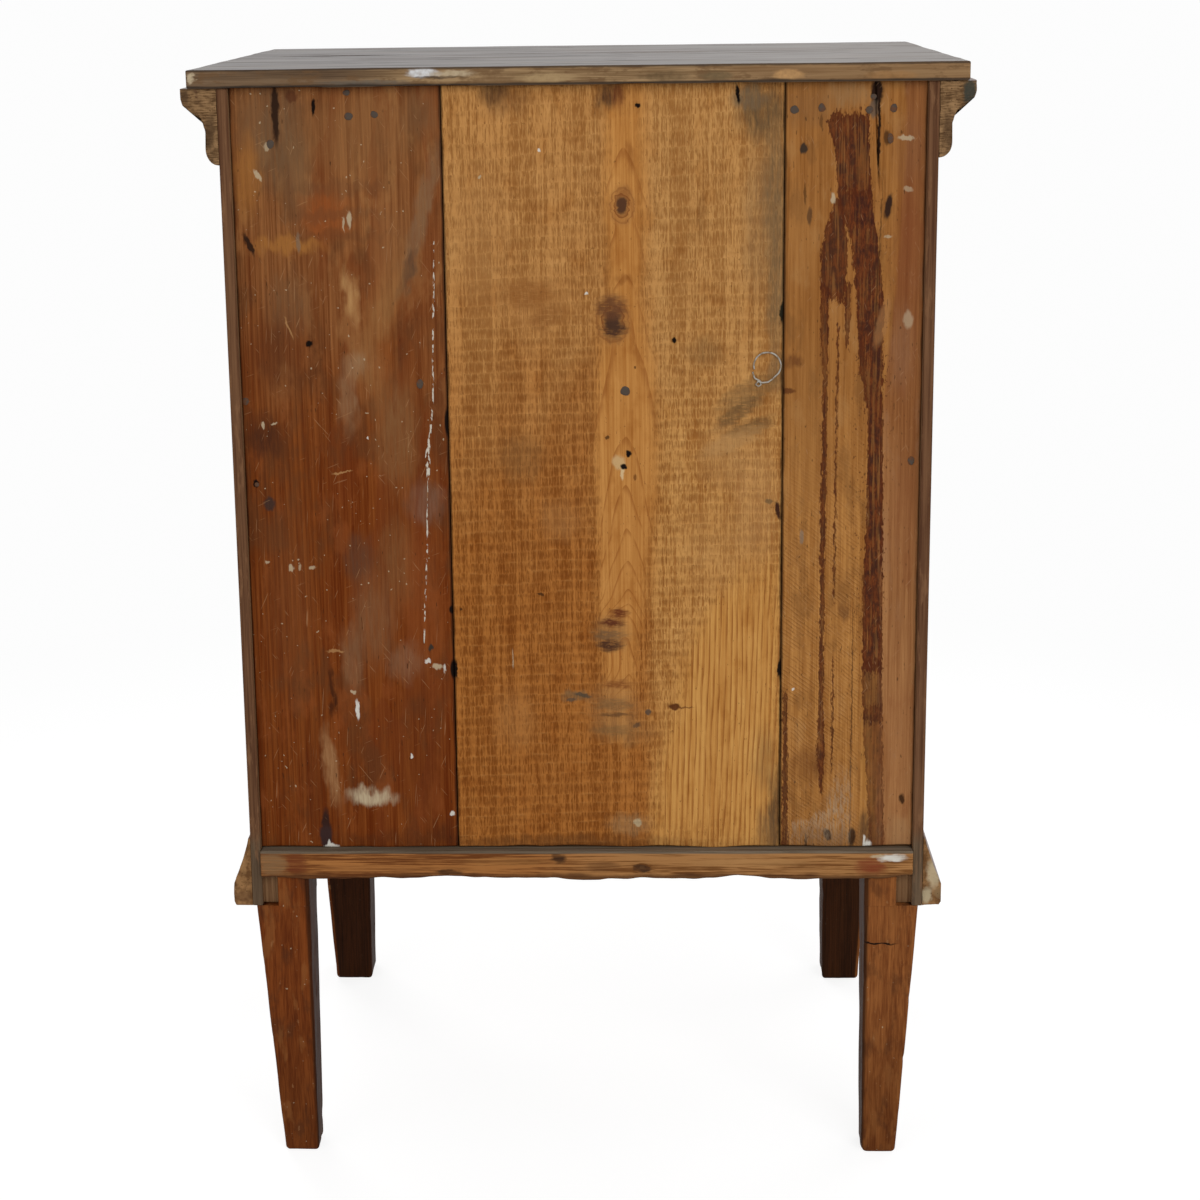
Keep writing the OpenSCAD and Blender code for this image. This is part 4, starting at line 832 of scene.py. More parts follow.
CASE_TINTS = [(0.046, 0.015, 0.006), (0.142, 0.054, 0.021), (0.026, 0.009, 0.005), (0.175, 0.070, 0.027)]


def plain_case(name, along, dark=1.0, gloss=0.36):
    s, colour, rough, _ = case_wood(name, along, dark, gloss)
    return s.done(colour, rough)


def moulding_wood(name, along, end_y):
    """Case wood with a raw sawn end towards the back."""
    s, colour, rough, _ = case_wood(name, along, 0.9, 0.34)
    blotch = s.noise(9, detail=5, rough=0.62, seed=25)
    saw = s.noise((7, 7, 0.9), seed=22)
    share = s.fade(s.add(s.times(saw, 0.5), s.times(blotch, 0.5)), 0.38, 0.62)
    raw = s.mix(share, (0.085, 0.042, 0.016), (0.290, 0.168, 0.076))
    low_raw = s.mix(s.fade(blotch, 0.38, 0.62), (0.125, 0.055, 0.018), (0.30, 0.155, 0.060))
    raw = s.mix(s.fade(s.z, 300, 280), raw, low_raw)
    raw = s.marks(raw, RAW_END_MARKS, s.warped(4, 1.6, 1.6, seed=27, detail=4), 0.4)
    raw = s.lay(raw, s.patches(1.7, 0.68, 0.74, 29, 1), 0.8, DARK)
    is_end = s.fade(s.y, end_y - 1.1, end_y - 0.7)
    return s.done(s.mix(is_end, colour, raw), s.mix(is_end, rough, MATTE))


# Marks on the sawn ends of the mouldings, left and right
RAW_END_MARKS = [
    (-268, 799, 4.4, 9, 0.9, (0.035, 0.040, 0.032)), (270, 802, 3, 5, 0.8, (0.075, 0.040, 0.018)),
    (254, 776, 4, 12, 0.7, (0.070, 0.036, 0.016), -8), (-255, 772, 4, 12, 0.7, (0.070, 0.036, 0.016), 8),
    (-256, 232, 4.5, 12, 0.8, (0.50, 0.40, 0.25)), (-251, 214, 4, 6, 0.8, (0.46, 0.38, 0.24)),
    (-260, 216, 3, 4, 0.8, (0.24, 0.15, 0.07)), (254, 240, 2.4, 9, 0.6, (0.34, 0.185, 0.075)),
    (255, 213, 6, 4, 0.5, (0.12, 0.055, 0.022)),
]


def side_wood(name):
    """Side panel: varnished outside, raw brown on its rear edge and inside."""
    high = box_mm("side_panel_right")[1]
    s, colour, rough, tone = case_wood(name, "z", 1.0, 0.38)
    inside = s.mix(tone, (0.125, 0.056, 0.022), (0.260, 0.145, 0.068))
    is_inner = s.fade(s.math("ABSOLUTE", s.x), high[0] - 0.9, high[0] - 1.3)
    strip = s.mix(tone, (0.072, 0.027, 0.011), (0.170, 0.080, 0.036))
    grey = s.mix(tone, (0.060, 0.035, 0.019), (0.150, 0.098, 0.056))
    strip = s.mix(s.fade(s.add(s.z, s.sway(20, 4, 7)), 266, 250), strip, grey)
    strip = s.lay(strip, s.patches((4, 4, 25), 0.53, 0.66, 33, 4, 0.65), 0.6, (0.215, 0.105, 0.048))
    is_rear = s.fade(s.y, high[1] - 1.1, high[1] - 0.7)
    colour = s.mix(is_rear, s.mix(is_inner, colour, inside), strip)
    return s.done(colour, s.mix(s.math("MAXIMUM", is_inner, is_rear), rough, (0.8, 0.8, 0.8)))


def raw_wood(name, along, light=1.0):
    """Bare old pine for what was never meant to be seen."""
    s = Finish(name, roughness=0.8, specular=0.15)
    place = s.grain_place(along)
    tone = s.fibres(place, fine=1.2, broad=16.0, seed=5.0)
    dark, pale, late, grime = (tuple(c * light for c in tint) for tint in RAW_TINTS)
    ring = s.rings(place, (25, -90, 30), 0.03, 4.4, sway=6.0, seed=6.0)
    colour = s.lay(s.mix(tone, dark, pale), ring, 0.55, late)
    colour = s.lay(colour, s.patches(45, 0.47, 0.68, 9, 5, 0.6), 0.5, grime)
    s.bump(s.add(tone, s.times(ring, -0.4)), 0.18)
    return s, colour, tone


RAW_TINTS = [(0.160, 0.072, 0.025), (0.36, 0.205, 0.090), (0.150, 0.062, 0.020), (0.12, 0.068, 0.034)]


def plain_raw(name, along, light=1.0):
    s, colour, tone = raw_wood(name, along, light)
    return s.done(colour, s.spread(tone, 0.74, 0.84))


def bottom_wood():
    """Bottom board: grey dusty upper face behind the boards, stained and battered rear edge."""
    low, high = box_mm("bottom_board")
    s, colour, tone = raw_wood("bottom_wood", "x", 0.95)
    fine = s.noise((26, 2, 1.1), detail=3, rough=0.6, seed=18)
    share = s.fade(s.add(s.times(tone, 0.4), s.times(fine, 0.6)), 0.36, 0.62)
    edge = s.mix(share, (0.130, 0.038, 0.008), (0.350, 0.140, 0.038))
    right = s.mix(share, (0.150, 0.055, 0.013), (0.365, 0.172, 0.058))
    edge = s.mix(s.fade(s.add(s.x, s.sway(70, 24, 4)), 50, -40), edge, right)
    near = s.warped((8, 6, 4), 3.0, 1.3, detail=4)
    ragged = s.spread(s.noise((18, 2, 2), detail=3, seed=19), 0.3, 1.5)
    edge = s.marks(edge, BOTTOM_EDGE_MARKS, near, 0.4, ragged)
    dirt = s.fade(s.add(s.z, s.sway((18, 9, 9), 1.6, 23, detail=3)), low[2] + 5.0, low[2] + 1.0)
    edge = s.lay(edge, dirt, 0.75, (0.045, 0.014, 0.005))
    is_edge = s.times(s.fade(s.y, high[1] - 3.2, high[1] - 2.4), s.fade(s.z, high[2] - 0.8, high[2] - 1.8))
    colour = s.mix(is_edge, colour, edge)
    on_lip = s.times(s.fade(s.y, 185, 187), s.fade(s.z, high[2] - 2.4, high[2] - 1.2))
    return s.done(s.mix(on_lip, colour, s.mix(tone, (0.080, 0.055, 0.035), (0.190, 0.145, 0.100))), 0.8)


BOTTOM_EDGE_MARKS = [
    (231, 240, 10, 10, 0.85, (0.215, 0.118, 0.052)), (214, 240, 8, 9, 0.8, (0.135, 0.032, 0.010)),
    (20, 244.5, 5, 3.6, 0.95, DARK), (-42, 236, 4.6, 3.2, 0.95, (0.045, 0.020, 0.010)),
    (100, 233.5, 9, 1.8, 0.9, DARK), (-210, 238, 10, 6.5, 0.8, (0.185, 0.040, 0.014)),
    (-226, 244.5, 9, 2.6, 1, PAINT), (-214, 246, 5, 1.2, 0.9, PUTTY),
    (-120, 241, 40, 3.6, 0.5, (0.42, 0.22, 0.08)), (60, 242, 30, 3.2, 0.45, (0.34, 0.155, 0.045)),
    (160, 236, 40, 3, 0.5, (0.30, 0.120, 0.034)), (-12, 238, 12, 4, 0.5, (0.11, 0.045, 0.015)),
]


def leg_wood():
    """Red-brown stain, worn pale in places; painted shade makes the inner faces of the rear legs and the rear
    and inner faces of the front legs nearly black.
    """
    s = Finish("leg_wood", roughness=0.55, specular=0.04)
    tone = s.fibres(s.place, fine=1.0, broad=9.0, seed=6.0)
    left = s.mix(tone, (0.098, 0.020, 0.004), (0.200, 0.052, 0.011))
    right = s.mix(tone, (0.140, 0.039, 0.010), (0.300, 0.108, 0.030))
    colour = s.mix(s.fade(s.x, -80, 80), right, left)
    low_part = s.fade(s.add(s.z, s.sway(50, 20, 3)), 140, 30)
    colour = s.lay(colour, low_part, 0.55, s.mix(tone, (0.074, 0.019, 0.004), (0.140, 0.042, 0.010)))
    colour = s.lay(colour, s.patches((11, 11, 26), 0.50, 0.66, 8, 5, 0.6), 0.55, (0.070, 0.023, 0.009))
    colour = s.lay(colour, s.patches((9, 9, 30), 0.54, 0.66, 10, 4), 0.4, (0.26, 0.098, 0.028))
    pale = s.patches((4, 4, 8), 0.66, 0.74, 11, 3)
    colour = s.lay(colour, pale, 0.45, (0.31, 0.15, 0.06))
    wear = s.times(s.edge_wear(2.4), s.patches(18, 0.4, 0.62, 14, 3))
    colour = s.lay(colour, wear, 0.4, (0.26, 0.105, 0.036))
    colour = s.lay(colour, s.patches(1.9, 0.83, 0.86, 17, 0), 0.6, PUTTY)
    crack = s.fade(s.oval(-214, 176, 16, 0.9, -4, s.warped((8, 8, 4), 0.6, 1.4, seed=20)), 1.2, 0.7)
    colour = s.mix(s.times(crack, s.fade(s.y, 180, 186)), colour, SOOT)
    # Painted shade: the inner faces of the rear legs are made nearly black, as are the rear and inner faces
    # of the front legs below
    rear_leg_inner_shade = s.times(s.fade(s.math("ABSOLUTE", s.x), 210, 207.5), s.fade(s.y, 60, 90))
    # The front and outer faces of the front legs lean with the taper, and are left as they are
    behind_front = s.add(s.y, s.times(s.z, 0.07))
    foot = leg_section("leg_front_right", 0.0)[1]
    shoulder = leg_section("leg_front_right", LEG_SHOULDER)[1]
    outer_face = s.spread(s.times(s.z, 1 / LEG_SHOULDER), foot, shoulder)
    from_outer = s.less(outer_face, s.math("ABSOLUTE", s.x))
    # Painted shade: the mask of the rear and inner faces of the front legs
    front = s.times(s.fade(s.y, 0, -60), s.fade(behind_front, -156.5, -153), s.fade(from_outer, 1.8, 3.4))
    painted_shade = s.math("MAXIMUM", s.times(rear_leg_inner_shade, 0.85), s.times(front, 0.93))
    # Painted shade laid over both masks as near-black colour
    colour = s.mix(painted_shade, colour, s.mix(tone, (0.008, 0.0035, 0.0018), (0.036, 0.012, 0.005)))
    s.bump(s.add(s.times(tone, 0.7), s.times(pale, -0.5)), 0.16)
    return s.done(colour, s.spread(tone, 0.52, 0.68))


def brass():
    s = Finish("brass", roughness=0.38, metallic=1.0, specular=0.5)
    cloud = s.noise(9, detail=4, seed=2)
    colour = s.mix(s.fade(cloud, 0.35, 0.68), (0.30, 0.185, 0.060), (0.60, 0.42, 0.155))
    colour = s.lay(colour, s.patches(3.2, 0.58, 0.68, 5, 3), 0.75, (0.085, 0.050, 0.022))
    s.bump(s.noise(2, detail=3, seed=7), 0.08)
    return s.done(colour, s.spread(cloud, 0.30, 0.56))


def iron(name="iron", dull=(0.075, 0.056, 0.043), rusty=(0.125, 0.052, 0.024)):
    s = Finish(name, roughness=0.6, metallic=0.25, specular=0.2)
    rust = s.noise(4, detail=4, seed=2)
    s.bump(s.noise(1.4, detail=3, seed=7), 0.10)
    return s.done(s.mix(s.fade(rust, 0.42, 0.66), dull, rusty), s.spread(rust, 0.48, 0.78))


# Meshes


def wander(points, size, seed):
    """Smooth noise at each point, mostly within half a unit of 0."""
    scaled = points / np.asarray(size, float) + seed * 17.3
    return np.array([noise.noise(Vector(p)) for p in scaled])


def ticks(low, high, step, edge, extra=()):
    """Grid lines from low to high, close together at both ends and round any extra places."""
    inner = np.linspace(low + edge, high - edge, max(2, round((high - low - 2 * edge) / step) + 1))
    ends = [low, low + edge * 0.3, low + edge * 0.65]
    lines = [*ends, *inner, *[low + high - e for e in reversed(ends)]]
    return sorted(set(round(float(v), 4) for v in [*lines, *extra]))


def block(lines):
    """The surface of a box as a grid of quads on the given lines of each axis."""
    last = [len(row) - 1 for row in lines]
    index = {}
    points = []
    faces = []
    for axis in range(3):
        u = (axis + 1) % 3
        v = (axis + 2) % 3
        for side in (0, last[axis]):
            for a in range(last[u]):
                for b in range(last[v]):
                    quad = []
                    for step_a, step_b in ((0, 0), (1, 0), (1, 1), (0, 1)):
                        key = [0, 0, 0]
                        key[axis] = side
                        key[u] = a + step_a
                        key[v] = b + step_b
                        key = tuple(key)
                        if key not in index:
                            index[key] = len(points)
                            points.append([lines[n][key[n]] for n in range(3)])
                        quad.append(index[key])
                    if side == 0:
                        quad.reverse()
                    faces.append(quad)
    return np.array(points), faces


def rounded(points, low, high, radius):
    """Rounds the arrises of a box; radius has one value per point."""
    r = np.asarray(radius, float).reshape(-1, 1)
    core = np.clip(points, low + r, high - r)
    out = points - core
    length = np.linalg.norm(out, axis=1, keepdims=True)
    return core + out * r / np.maximum(length, 1e-9)


def add_piece(name, points, faces, material, node):
    """A new piece of the cabinet that takes the place of one CAD node."""
    mesh = bpy.data.meshes.new(name)
    mesh.from_pydata([tuple(p) for p in np.asarray(points) * MM], [], faces)
    mesh.update()
    mesh.shade_smooth()
    piece = add_object(name, mesh)
    mesh.materials.append(material)
    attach(piece, "cabinet")
    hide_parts(node)
    return piece


# How near a point of the grid lies to the face that it is on
ON_FACE = 0.01


def worn_block(node, steps, edge, wear, extra_x=()):
    """A node's box as a grid: its corners, the flat points, the points with worn arrises, and the faces.

    Wear is the least radius of an arris, what the noise adds to it, and the noise's size and seed.
    """
    low, high = box_mm(node)
    lines = [ticks(low[n], high[n], steps[n], edge, () if n else extra_x) for n in range(3)]
    flat, faces = block(lines)
    least, more, size, seed = wear
    radius = least + more * np.abs(wander(flat, size, seed))
    return low, high, flat, rounded(flat, low, high, radius), faces


def back_board(node, material, steps, seed, crack=None):
    """A board of the back with worn arrises, a slightly uneven face and ragged ends."""
    extra_x = () if crack is None else tuple(np.arange(crack[0] - 3.0, crack[0] + 3.1, 0.5))
    wear = (0.6, 1.1, (25, 25, 60), seed)
    low, high, flat, points, faces = worn_block(node, steps, 1.8, wear, extra_x)
    rear = flat[:, 1] > high[1] - ON_FACE
    hollow = 0.35 + 0.5 * wander(flat, (70, 50, 260), seed + 1)
    grain = 0.16 * wander(flat, (5, 50, 160), seed + 2)
    points[:, 1] -= np.where(rear, np.maximum(hollow + grain, 0.0), 0.0)
    low_end = np.clip((low[2] + 6.0 - flat[:, 2]) / 6.0, 0.0, 1.0)
    points[:, 2] += low_end * np.maximum(0.9 + 1.8 * wander(flat, (30, 50, 900), seed + 3), 0.0)
    if crack is not None:
        crack_x, lean, crack_low, crack_high = crack
        line = crack_x + lean * (flat[:, 2] - crack_high)
        line = line + 1.2 * wander(flat, (900, 900, 40), seed + 4)
        inside = np.clip((flat[:, 2] - crack_low) / 25.0, 0.0, 1.0)
        depth = 3.2 * inside * np.clip(1.0 - np.abs(flat[:, 0] - line) / 0.8, 0.0, 1.0)
        points[:, 1] -= np.where(rear, depth, 0.0)
    return add_piece(node + "_worn", points, faces, material, node)


def top_board(node, material, seed):
    """A board of the top: dished and worn arrises, and a wavy lower edge at the rear."""
    wear = (1.0, 1.5, (26, 60, 60), seed)
    low, high, flat, points, faces = worn_block(node, (5.0, 7.0, 2.0), 2.4, wear)
    upper = flat[:, 2] > high[2] - ON_FACE
    points[:, 2] -= np.where(upper, 0.25 + 0.35 * wander(flat, (80, 60, 60), seed + 1), 0.0)
    near_rear = np.clip((flat[:, 1] - high[1] + 7.0) / 7.0, 0.0, 1.0)
    lower = flat[:, 2] < low[2] + ON_FACE
    chip = np.maximum(1.6 * wander(flat, (34, 60, 60), seed + 2), 0.0)
    points[:, 2] += np.where(lower, near_rear * chip, 0.0)
    rear = flat[:, 1] > high[1] - ON_FACE
    points[:, 1] -= np.where(rear, np.maximum(0.3 + 0.8 * wander(flat, (60, 60, 5), seed + 3), 0.0), 0.0)
    return add_piece(node + "_worn", points, faces, material, node)


def bottom_board(material):
    """The bottom board, with the wavy, gouged lower edge of its rear side."""
    node = "bottom_board"
    wear = (0.9, 1.6, (20, 60, 60), 41)
    low, high, flat, points, faces = worn_block(node, (3.0, 6.0, 2.0), 2.4, wear)
    near_rear = np.clip((flat[:, 1] - high[1] + 10.0) / 10.0, 0.0, 1.0)
    lower_share = np.clip((high[2] - flat[:, 2]) / (high[2] - low[2]), 0.0, 1.0)
    wave = 0.2 + 3.2 * wander(flat, (52, 60, 900), 42) + 1.2 * wander(flat, (13, 60, 900), 43)
    end_rise = 3.0 * np.clip((-flat[:, 0] - 215.0) / 20.0, 0.0, 1.0)
    points[:, 2] += near_rear * lower_share * np.clip(wave + end_rise, -1.8, 4.0)
    rear = flat[:, 1] > high[1] - ON_FACE
    uneven = 0.5 + 0.9 * wander(flat, (40, 60, 7), 44)
    gouge = 2.6 * np.exp(-(((flat[:, 0] + 42.0) / 5.0) ** 2 + ((flat[:, 2] - 236.0) / 3.5) ** 2))
    points[:, 1] -= np.where(rear, np.maximum(uneven, 0.0) + gouge, 0.0)
    return add_piece(node + "_worn", points, faces, material, node)


def merged_copy(node):
    """The CAD node's surface with split corners joined and flat faces whole."""
    shape = bmesh.new()
    shape.from_mesh(cad_nodes[node].data)
    bmesh.ops.remove_doubles(shape, verts=shape.verts, dist=0.01 * MM)
    bmesh.ops.dissolve_limit(shape, angle_limit=math.radians(1.0), verts=shape.verts, edges=shape.edges)
    return shape


def end_outline(node):
    """Outline of a moulding's rear end as (x, z), read from the CAD node's flat end face."""
    shape = merged_copy(node)
    end = max((f for f in shape.faces if f.normal.y > 0.99), key=lambda f: f.calc_area())
    outline = [(v.co.x / MM, v.co.z / MM) for v in end.verts]
    shape.free()
    return outline


def between(here, after, share):
    return tuple(a + (b - a) * share for a, b in zip(here, after))


def refine(outline, step):
    """The closed outline with more points on its long sides."""
    result = []
    for here, after in zip(outline, outline[1:] + outline[:1]):
        count = max(1, math.ceil(math.dist(here, after) / step))
        result.extend(between(here, after, n / count) for n in range(count))
    return result


def inward(points, middle, axis):
    """Steps of 1 from the points towards a line through the middle that runs along an axis."""
    way = np.array(middle) - points
    way[:, axis] = 0.0
    return way / np.maximum(np.linalg.norm(way, axis=1, keepdims=True), 1.0)


def loft(rings):
    """Quads between rings of equal length, with a fan at each end, facing outwards."""
    count = len(rings[0])
    points = [p for ring in rings for p in ring]
    faces = []
    for n in range(len(rings) - 1):
        for k in range(count):
            after = (k + 1) % count
            faces.append([n * count + k, n * count + after, (n + 1) * count + after, (n + 1) * count + k])
    for n, turn in ((0, -1), (len(rings) - 1, 1)):
        middle = len(points)
        points.append(np.mean(rings[n], axis=0))
        for k in range(count):
            pair = [n * count + k, n * count + (k + 1) % count]
            faces.append([*(pair[::turn]), middle])
    points = np.array(points)
    volume = 0.0
    for face in faces:
        for k in range(1, len(face) - 1):
            volume += np.dot(points[face[0]], np.cross(points[face[k]], points[face[k + 1]]))
    return points, faces if volume > 0 else [f[::-1] for f in faces]


def side_moulding(node, material, seed):
    """A moulding run along a side, mitred at the front, with a rough sawn rear end."""
    low, high = box_mm(node)
    outline = refine(end_outline(node), 2.2)
    sign = 1.0 if high[0] > 0 else -1.0
    inner = min(abs(low[0]), abs(high[0]))
    reach = max(abs(low[0]), abs(high[0])) - inner
    rings = [[(x, high[1] - depth, z) for x, z in outline] for depth in END_DEPTHS]
    mitre = [low[1] + reach - (sign * x - inner) for x, _ in outline]
    for share in np.linspace(0.06, 1.0, 34):
        rings.append([(x, high[1] + (end - high[1]) * share, z) for (x, z), end in zip(outline, mitre)])
    points, faces = loft(rings)
    flat = points.copy()
    way = inward(flat, (sign * (inner + reach * 0.4), 0.0, (low[2] + high[2]) / 2), 1)
    depth = high[1] - flat[:, 1]
    wear = 0.5 + 0.7 * wander(flat, (9, 9, 9), seed)
    bevel = np.clip(1.0 - depth / 1.2, 0.0, 1.0) ** 1.5
    chips = np.clip(1.8 * wander(flat, (7, 14, 7), seed + 1) - 0.2, 0.0, 1.2)
    chips *= np.clip(1.0 - depth / 9.0, 0.0, 1.0)
    faint = 0.16 + 0.25 * wander(flat, (22, 60, 22), seed + 2)
    free = np.clip((sign * flat[:, 0] - inner) / 2.0, 0.0, 1.0) * np.clip(depth / ON_FACE, 0.0, 1.0)
    free = np.maximum(free, bevel)
    points += way * (np.maximum(wear, 0.0) * bevel + chips + np.maximum(faint, 0.0) * free)[:, None]
    rough = np.maximum(0.35 + 0.9 * wander(flat, (6, 6, 3), seed + 3), 0.0)
    points[:, 1] -= np.where(depth < ON_FACE, rough, 0.0)
    return add_piece(node + "_worn", points, faces, material, node)


# Depths of the rings near a moulding's sawn end
END_DEPTHS = [0.0, 0.5, 1.2, 2.2, 3.5, 6.0, 10.0, 16.0]

LEG_SHOULDER = 206.0


def leg_section(node, z):
    """Rectangle of a leg at one height, as low x, high x, low y, high y."""
    places = np.array([v.co for v in cad_nodes[node].data.vertices]) / MM
    level = places[np.abs(places[:, 2] - z) < 0.05]
    return level[:, 0].min(), level[:, 0].max(), level[:, 1].min(), level[:, 1].max()


def leg_ring(area, z, radius, shrink=0.0):
    """A rounded rectangle at one height, with 12 points to each corner and the side after it."""
    x0, x1 = area[0] + shrink + radius, area[1] - shrink - radius
    y0, y1 = area[2] + shrink + radius, area[3] - shrink - radius
    corners = [(x1, y1), (x0, y1), (x0, y0), (x1, y0)]
    outline = []
    for number, (x, y) in enumerate(corners):
        for step in range(5):
            cosine, sine = cosine_sine(90 * number + 22.5 * step)
            outline.append((x + radius * cosine, y + radius * sine, z))
        next_x, next_y = corners[(number + 1) % 4]
        start = outline[-1]
        end = (next_x + radius * cosine, next_y + radius * sine)
        outline.extend((*between(start, end, step / 8), z) for step in range(1, 8))
    return outline


def leg(node, material, seed):
    """A tapered leg with softened corners, dents and a worn foot; its upper part stays in the case."""
    low, high = box_mm(node)
    foot = leg_section(node, 0.0)
    shoulder = leg_section(node, LEG_SHOULDER)
    top = leg_section(node, high[2])
    heights = [0.0, 0.6, 1.6, 3.0, 6.0, *np.linspace(12.0, LEG_SHOULDER - 4.0, 46), LEG_SHOULDER - 1.5,
               LEG_SHOULDER - 0.5, LEG_SHOULDER]
    rings = []
    for z in heights:
        area = between(foot, shoulder, z / LEG_SHOULDER)
        rings.append(leg_ring(area, z, 2.0, 1.2 * max(0.0, 1.0 - z / 3.0) ** 2))
    for z in (LEG_SHOULDER + 0.01, LEG_SHOULDER + 1.0, high[2] - 0.5, high[2]):
        rings.append(leg_ring(top, z, 1.0))
    points, faces = loft(rings)
    flat = points.copy()
    way = inward(flat, ((low[0] + high[0]) / 2, (low[1] + high[1]) / 2, 0.0), 2)
    dents = np.maximum(0.12 + 0.7 * wander(flat, (14, 14, 36), seed), 0.0)
    dents += np.clip(2.4 * wander(flat, (8, 8, 16), seed + 1) - 0.75, 0.0, 1.2)
    below = flat[:, 2] < LEG_SHOULDER - 0.2
    points += way * np.where(below, dents, 0.0)[:, None]
    return add_piece(node + "_worn", points, faces, material, node)


# Arrises sharper than this are rounded over
SHARP_ANGLE = math.radians(30.0)


def softened(node, material, width):
    """A copy of a CAD node with its arrises rounded over."""
    mesh = bpy.data.meshes.new(node + "_worn")
    shape = merged_copy(node)
    shape.to_mesh(mesh)
    shape.free()
    mesh.shade_smooth()
    mesh.set_sharp_from_angle(angle=SHARP_ANGLE)
    piece = add_object(node + "_worn", mesh)
    mesh.materials.clear()
    mesh.materials.append(material)
    round_over = piece.modifiers.new("round_over", "BEVEL")
    round_over.width = width * MM
    round_over.segments = 2
    round_over.limit_method = "ANGLE"
    round_over.angle_limit = SHARP_ANGLE
    round_over.harden_normals = True
    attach(piece, cad_nodes[node]["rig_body"])
    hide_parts(node)


# Nails of the back: across, up, half width and half height of the head
NAIL_HEADS = [
    (157.7, 786.7, 3.0, 2.6), (140.0, 787.8, 2.6, 2.4), (158.7, 802.9, 2.4, 2.2), (212.7, 768.3, 2.6, 3.2),
    (-149.3, 788.0, 2.9, 2.8), (-168.1, 789.1, 2.4, 2.9), (-200.7, 787.3, 2.6, 2.6),
    (-217.3, 788.4, 2.3, 2.9), (-203.4, 796.3, 2.0, 2.0), (-215.3, 767.4, 2.0, 3.6),
    (-31.8, 592.8, 3.3, 3.3), (113.3, 598.5, 2.4, 3.2), (237.6, 587.3, 2.2, 2.8),
    (232.4, 526.5, 1.6, 1.6), (-233.8, 541.1, 2.2, 3.0),
]
NAIL_LENGTH = 24.0
# Rings of a head: share of its size, and height over the boards
HEAD_RINGS = ((1.0, -1.2), (1.04, -0.5), (1.0, -0.15), (0.8, 0.02), (0.45, 0.12))
# Both ends of a shank: height over the boards, and half width
SHANK_RINGS = ((-1.0, 1.2), (-NAIL_LENGTH, 0.5))
SQUARE = ((1, 1), (-1, 1), (-1, -1), (1, -1))


def nails(material):
    """Cut nails: uneven domed heads just proud of the boards, on square tapered shanks."""
    face_y = box_mm("back_board_middle")[1][1]
    points = []
    faces = []
    for number, (x, z, width, height) in enumerate(NAIL_HEADS):
        head = []
        for radius, y in HEAD_RINGS:
            ring = []
            for k in range(12):
                cosine, sine = cosine_sine(30 * k)
                reach = radius * (1.0 + 0.22 * noise.noise(Vector((cosine, sine, number * 3.7))))
                ring.append((x + width * reach * cosine, face_y + y, z + height * reach * sine))
            head.append(ring)
        shank = [[(x + a * half, face_y + y, z + b * half) for a, b in SQUARE] for y, half in SHANK_RINGS]
        for rings in (head, shank):
            solid, solid_faces = loft(rings)
            faces.extend([[len(points) + k for k in f] for f in solid_faces])
            points.extend(solid)
    return add_piece("cut_nails", points, faces, material, "back_nails")


# Path of the wire in the plane of the back: the open loop, a twist and the short tail
WIRE_MIDDLE = (-131.9, 610.3)
WIRE_LOOP = 9.5
WIRE_START = -15
WIRE_END = 235
WIRE_TAIL = [(-136.0, 601.0), (-132.5, 598.6), (-128.5, 598.2), (-125.5, 599.2), (-123.8, 597.0),
             (-125.6, 595.4), (-127.6, 596.8), (-126.6, 599.4), (-123.0, 601.5), (-121.6, 606.0)]
WIRE_RADIUS = 0.6


def wire(material):
    face_y = box_mm("back_board_middle")[1][1]
    path = []
    for degrees in range(WIRE_START, WIRE_END + 1, 10):
        cosine, sine = cosine_sine(degrees)
        path.append((WIRE_MIDDLE[0] + WIRE_LOOP * cosine, WIRE_MIDDLE[1] + WIRE_LOOP * sine))
    path.extend(WIRE_TAIL)
    centre = []
    for n, (x, z) in enumerate(path):
        y = face_y + WIRE_RADIUS + 0.4 * math.sin(n * 0.5) ** 2
        centre.append(Vector((x, y, z)))
    turns = [cosine_sine(45 * k) for k in range(8)]
    rings = []
    for n, here in enumerate(centre):
        run = (centre[min(n + 1, len(centre) - 1)] - centre[max(n - 1, 0)]).normalized()
        side = run.cross(Vector((0.0, 1.0, 0.0))).normalized()
        lift = side.cross(run)
        rings.append([here + (side * cosine + lift * sine) * WIRE_RADIUS for cosine, sine in turns])
    points, faces = loft(rings)
    return add_piece("bent_wire", points, faces, material, "wire_loop")


# Light and floor

WHITE = 0.98
AMBIENT = 0.45
FLOOR_MATTE = 0.26
FLOOR_GLOW = 0.83
# What scattered light meets in place of the floor that is seen
FLOOR_HIDDEN = 0.66
FLOOR_HALF = 6.0
# Distances from the middle between which the floor's shadow fades out
SHADOW_FADE = (0.3, 1.4)
LAMP_AIM = (0.0, 0.0, 0.45)

# Lamps: name, place, width and power
LAMPS = [
    ("rear_key", (-1.1, 2.6, 1.9), 1.8, 42.0), ("rear_fill", (1.8, 2.2, 1.2), 2.0, 10.0),
    ("front_key", (1.3, -2.7, 2.0), 1.8, 46.0), ("front_fill", (-2.0, -1.8, 1.3), 2.0, 18.0),
]


class Stage(Tree):
    """The nodes of the world and the floor."""

    def plain(self, kind, level):
        return self.node(kind, (level, level, level)).outputs[0]

    def shown(self):
        """1 for rays from the camera and for mirrored and passing light, 0 for scattered light."""
        rays = self.node("ShaderNodeLightPath").outputs
        result = rays["Is Camera Ray"]
        for name in ("Is Glossy Ray", "Is Transmission Ray"):
            result = self.math("MAXIMUM", result, rays[name])
        return result

    def choose(self, share, first, second):
        return self.node("ShaderNodeMixShader", share, first, second).outputs[0]


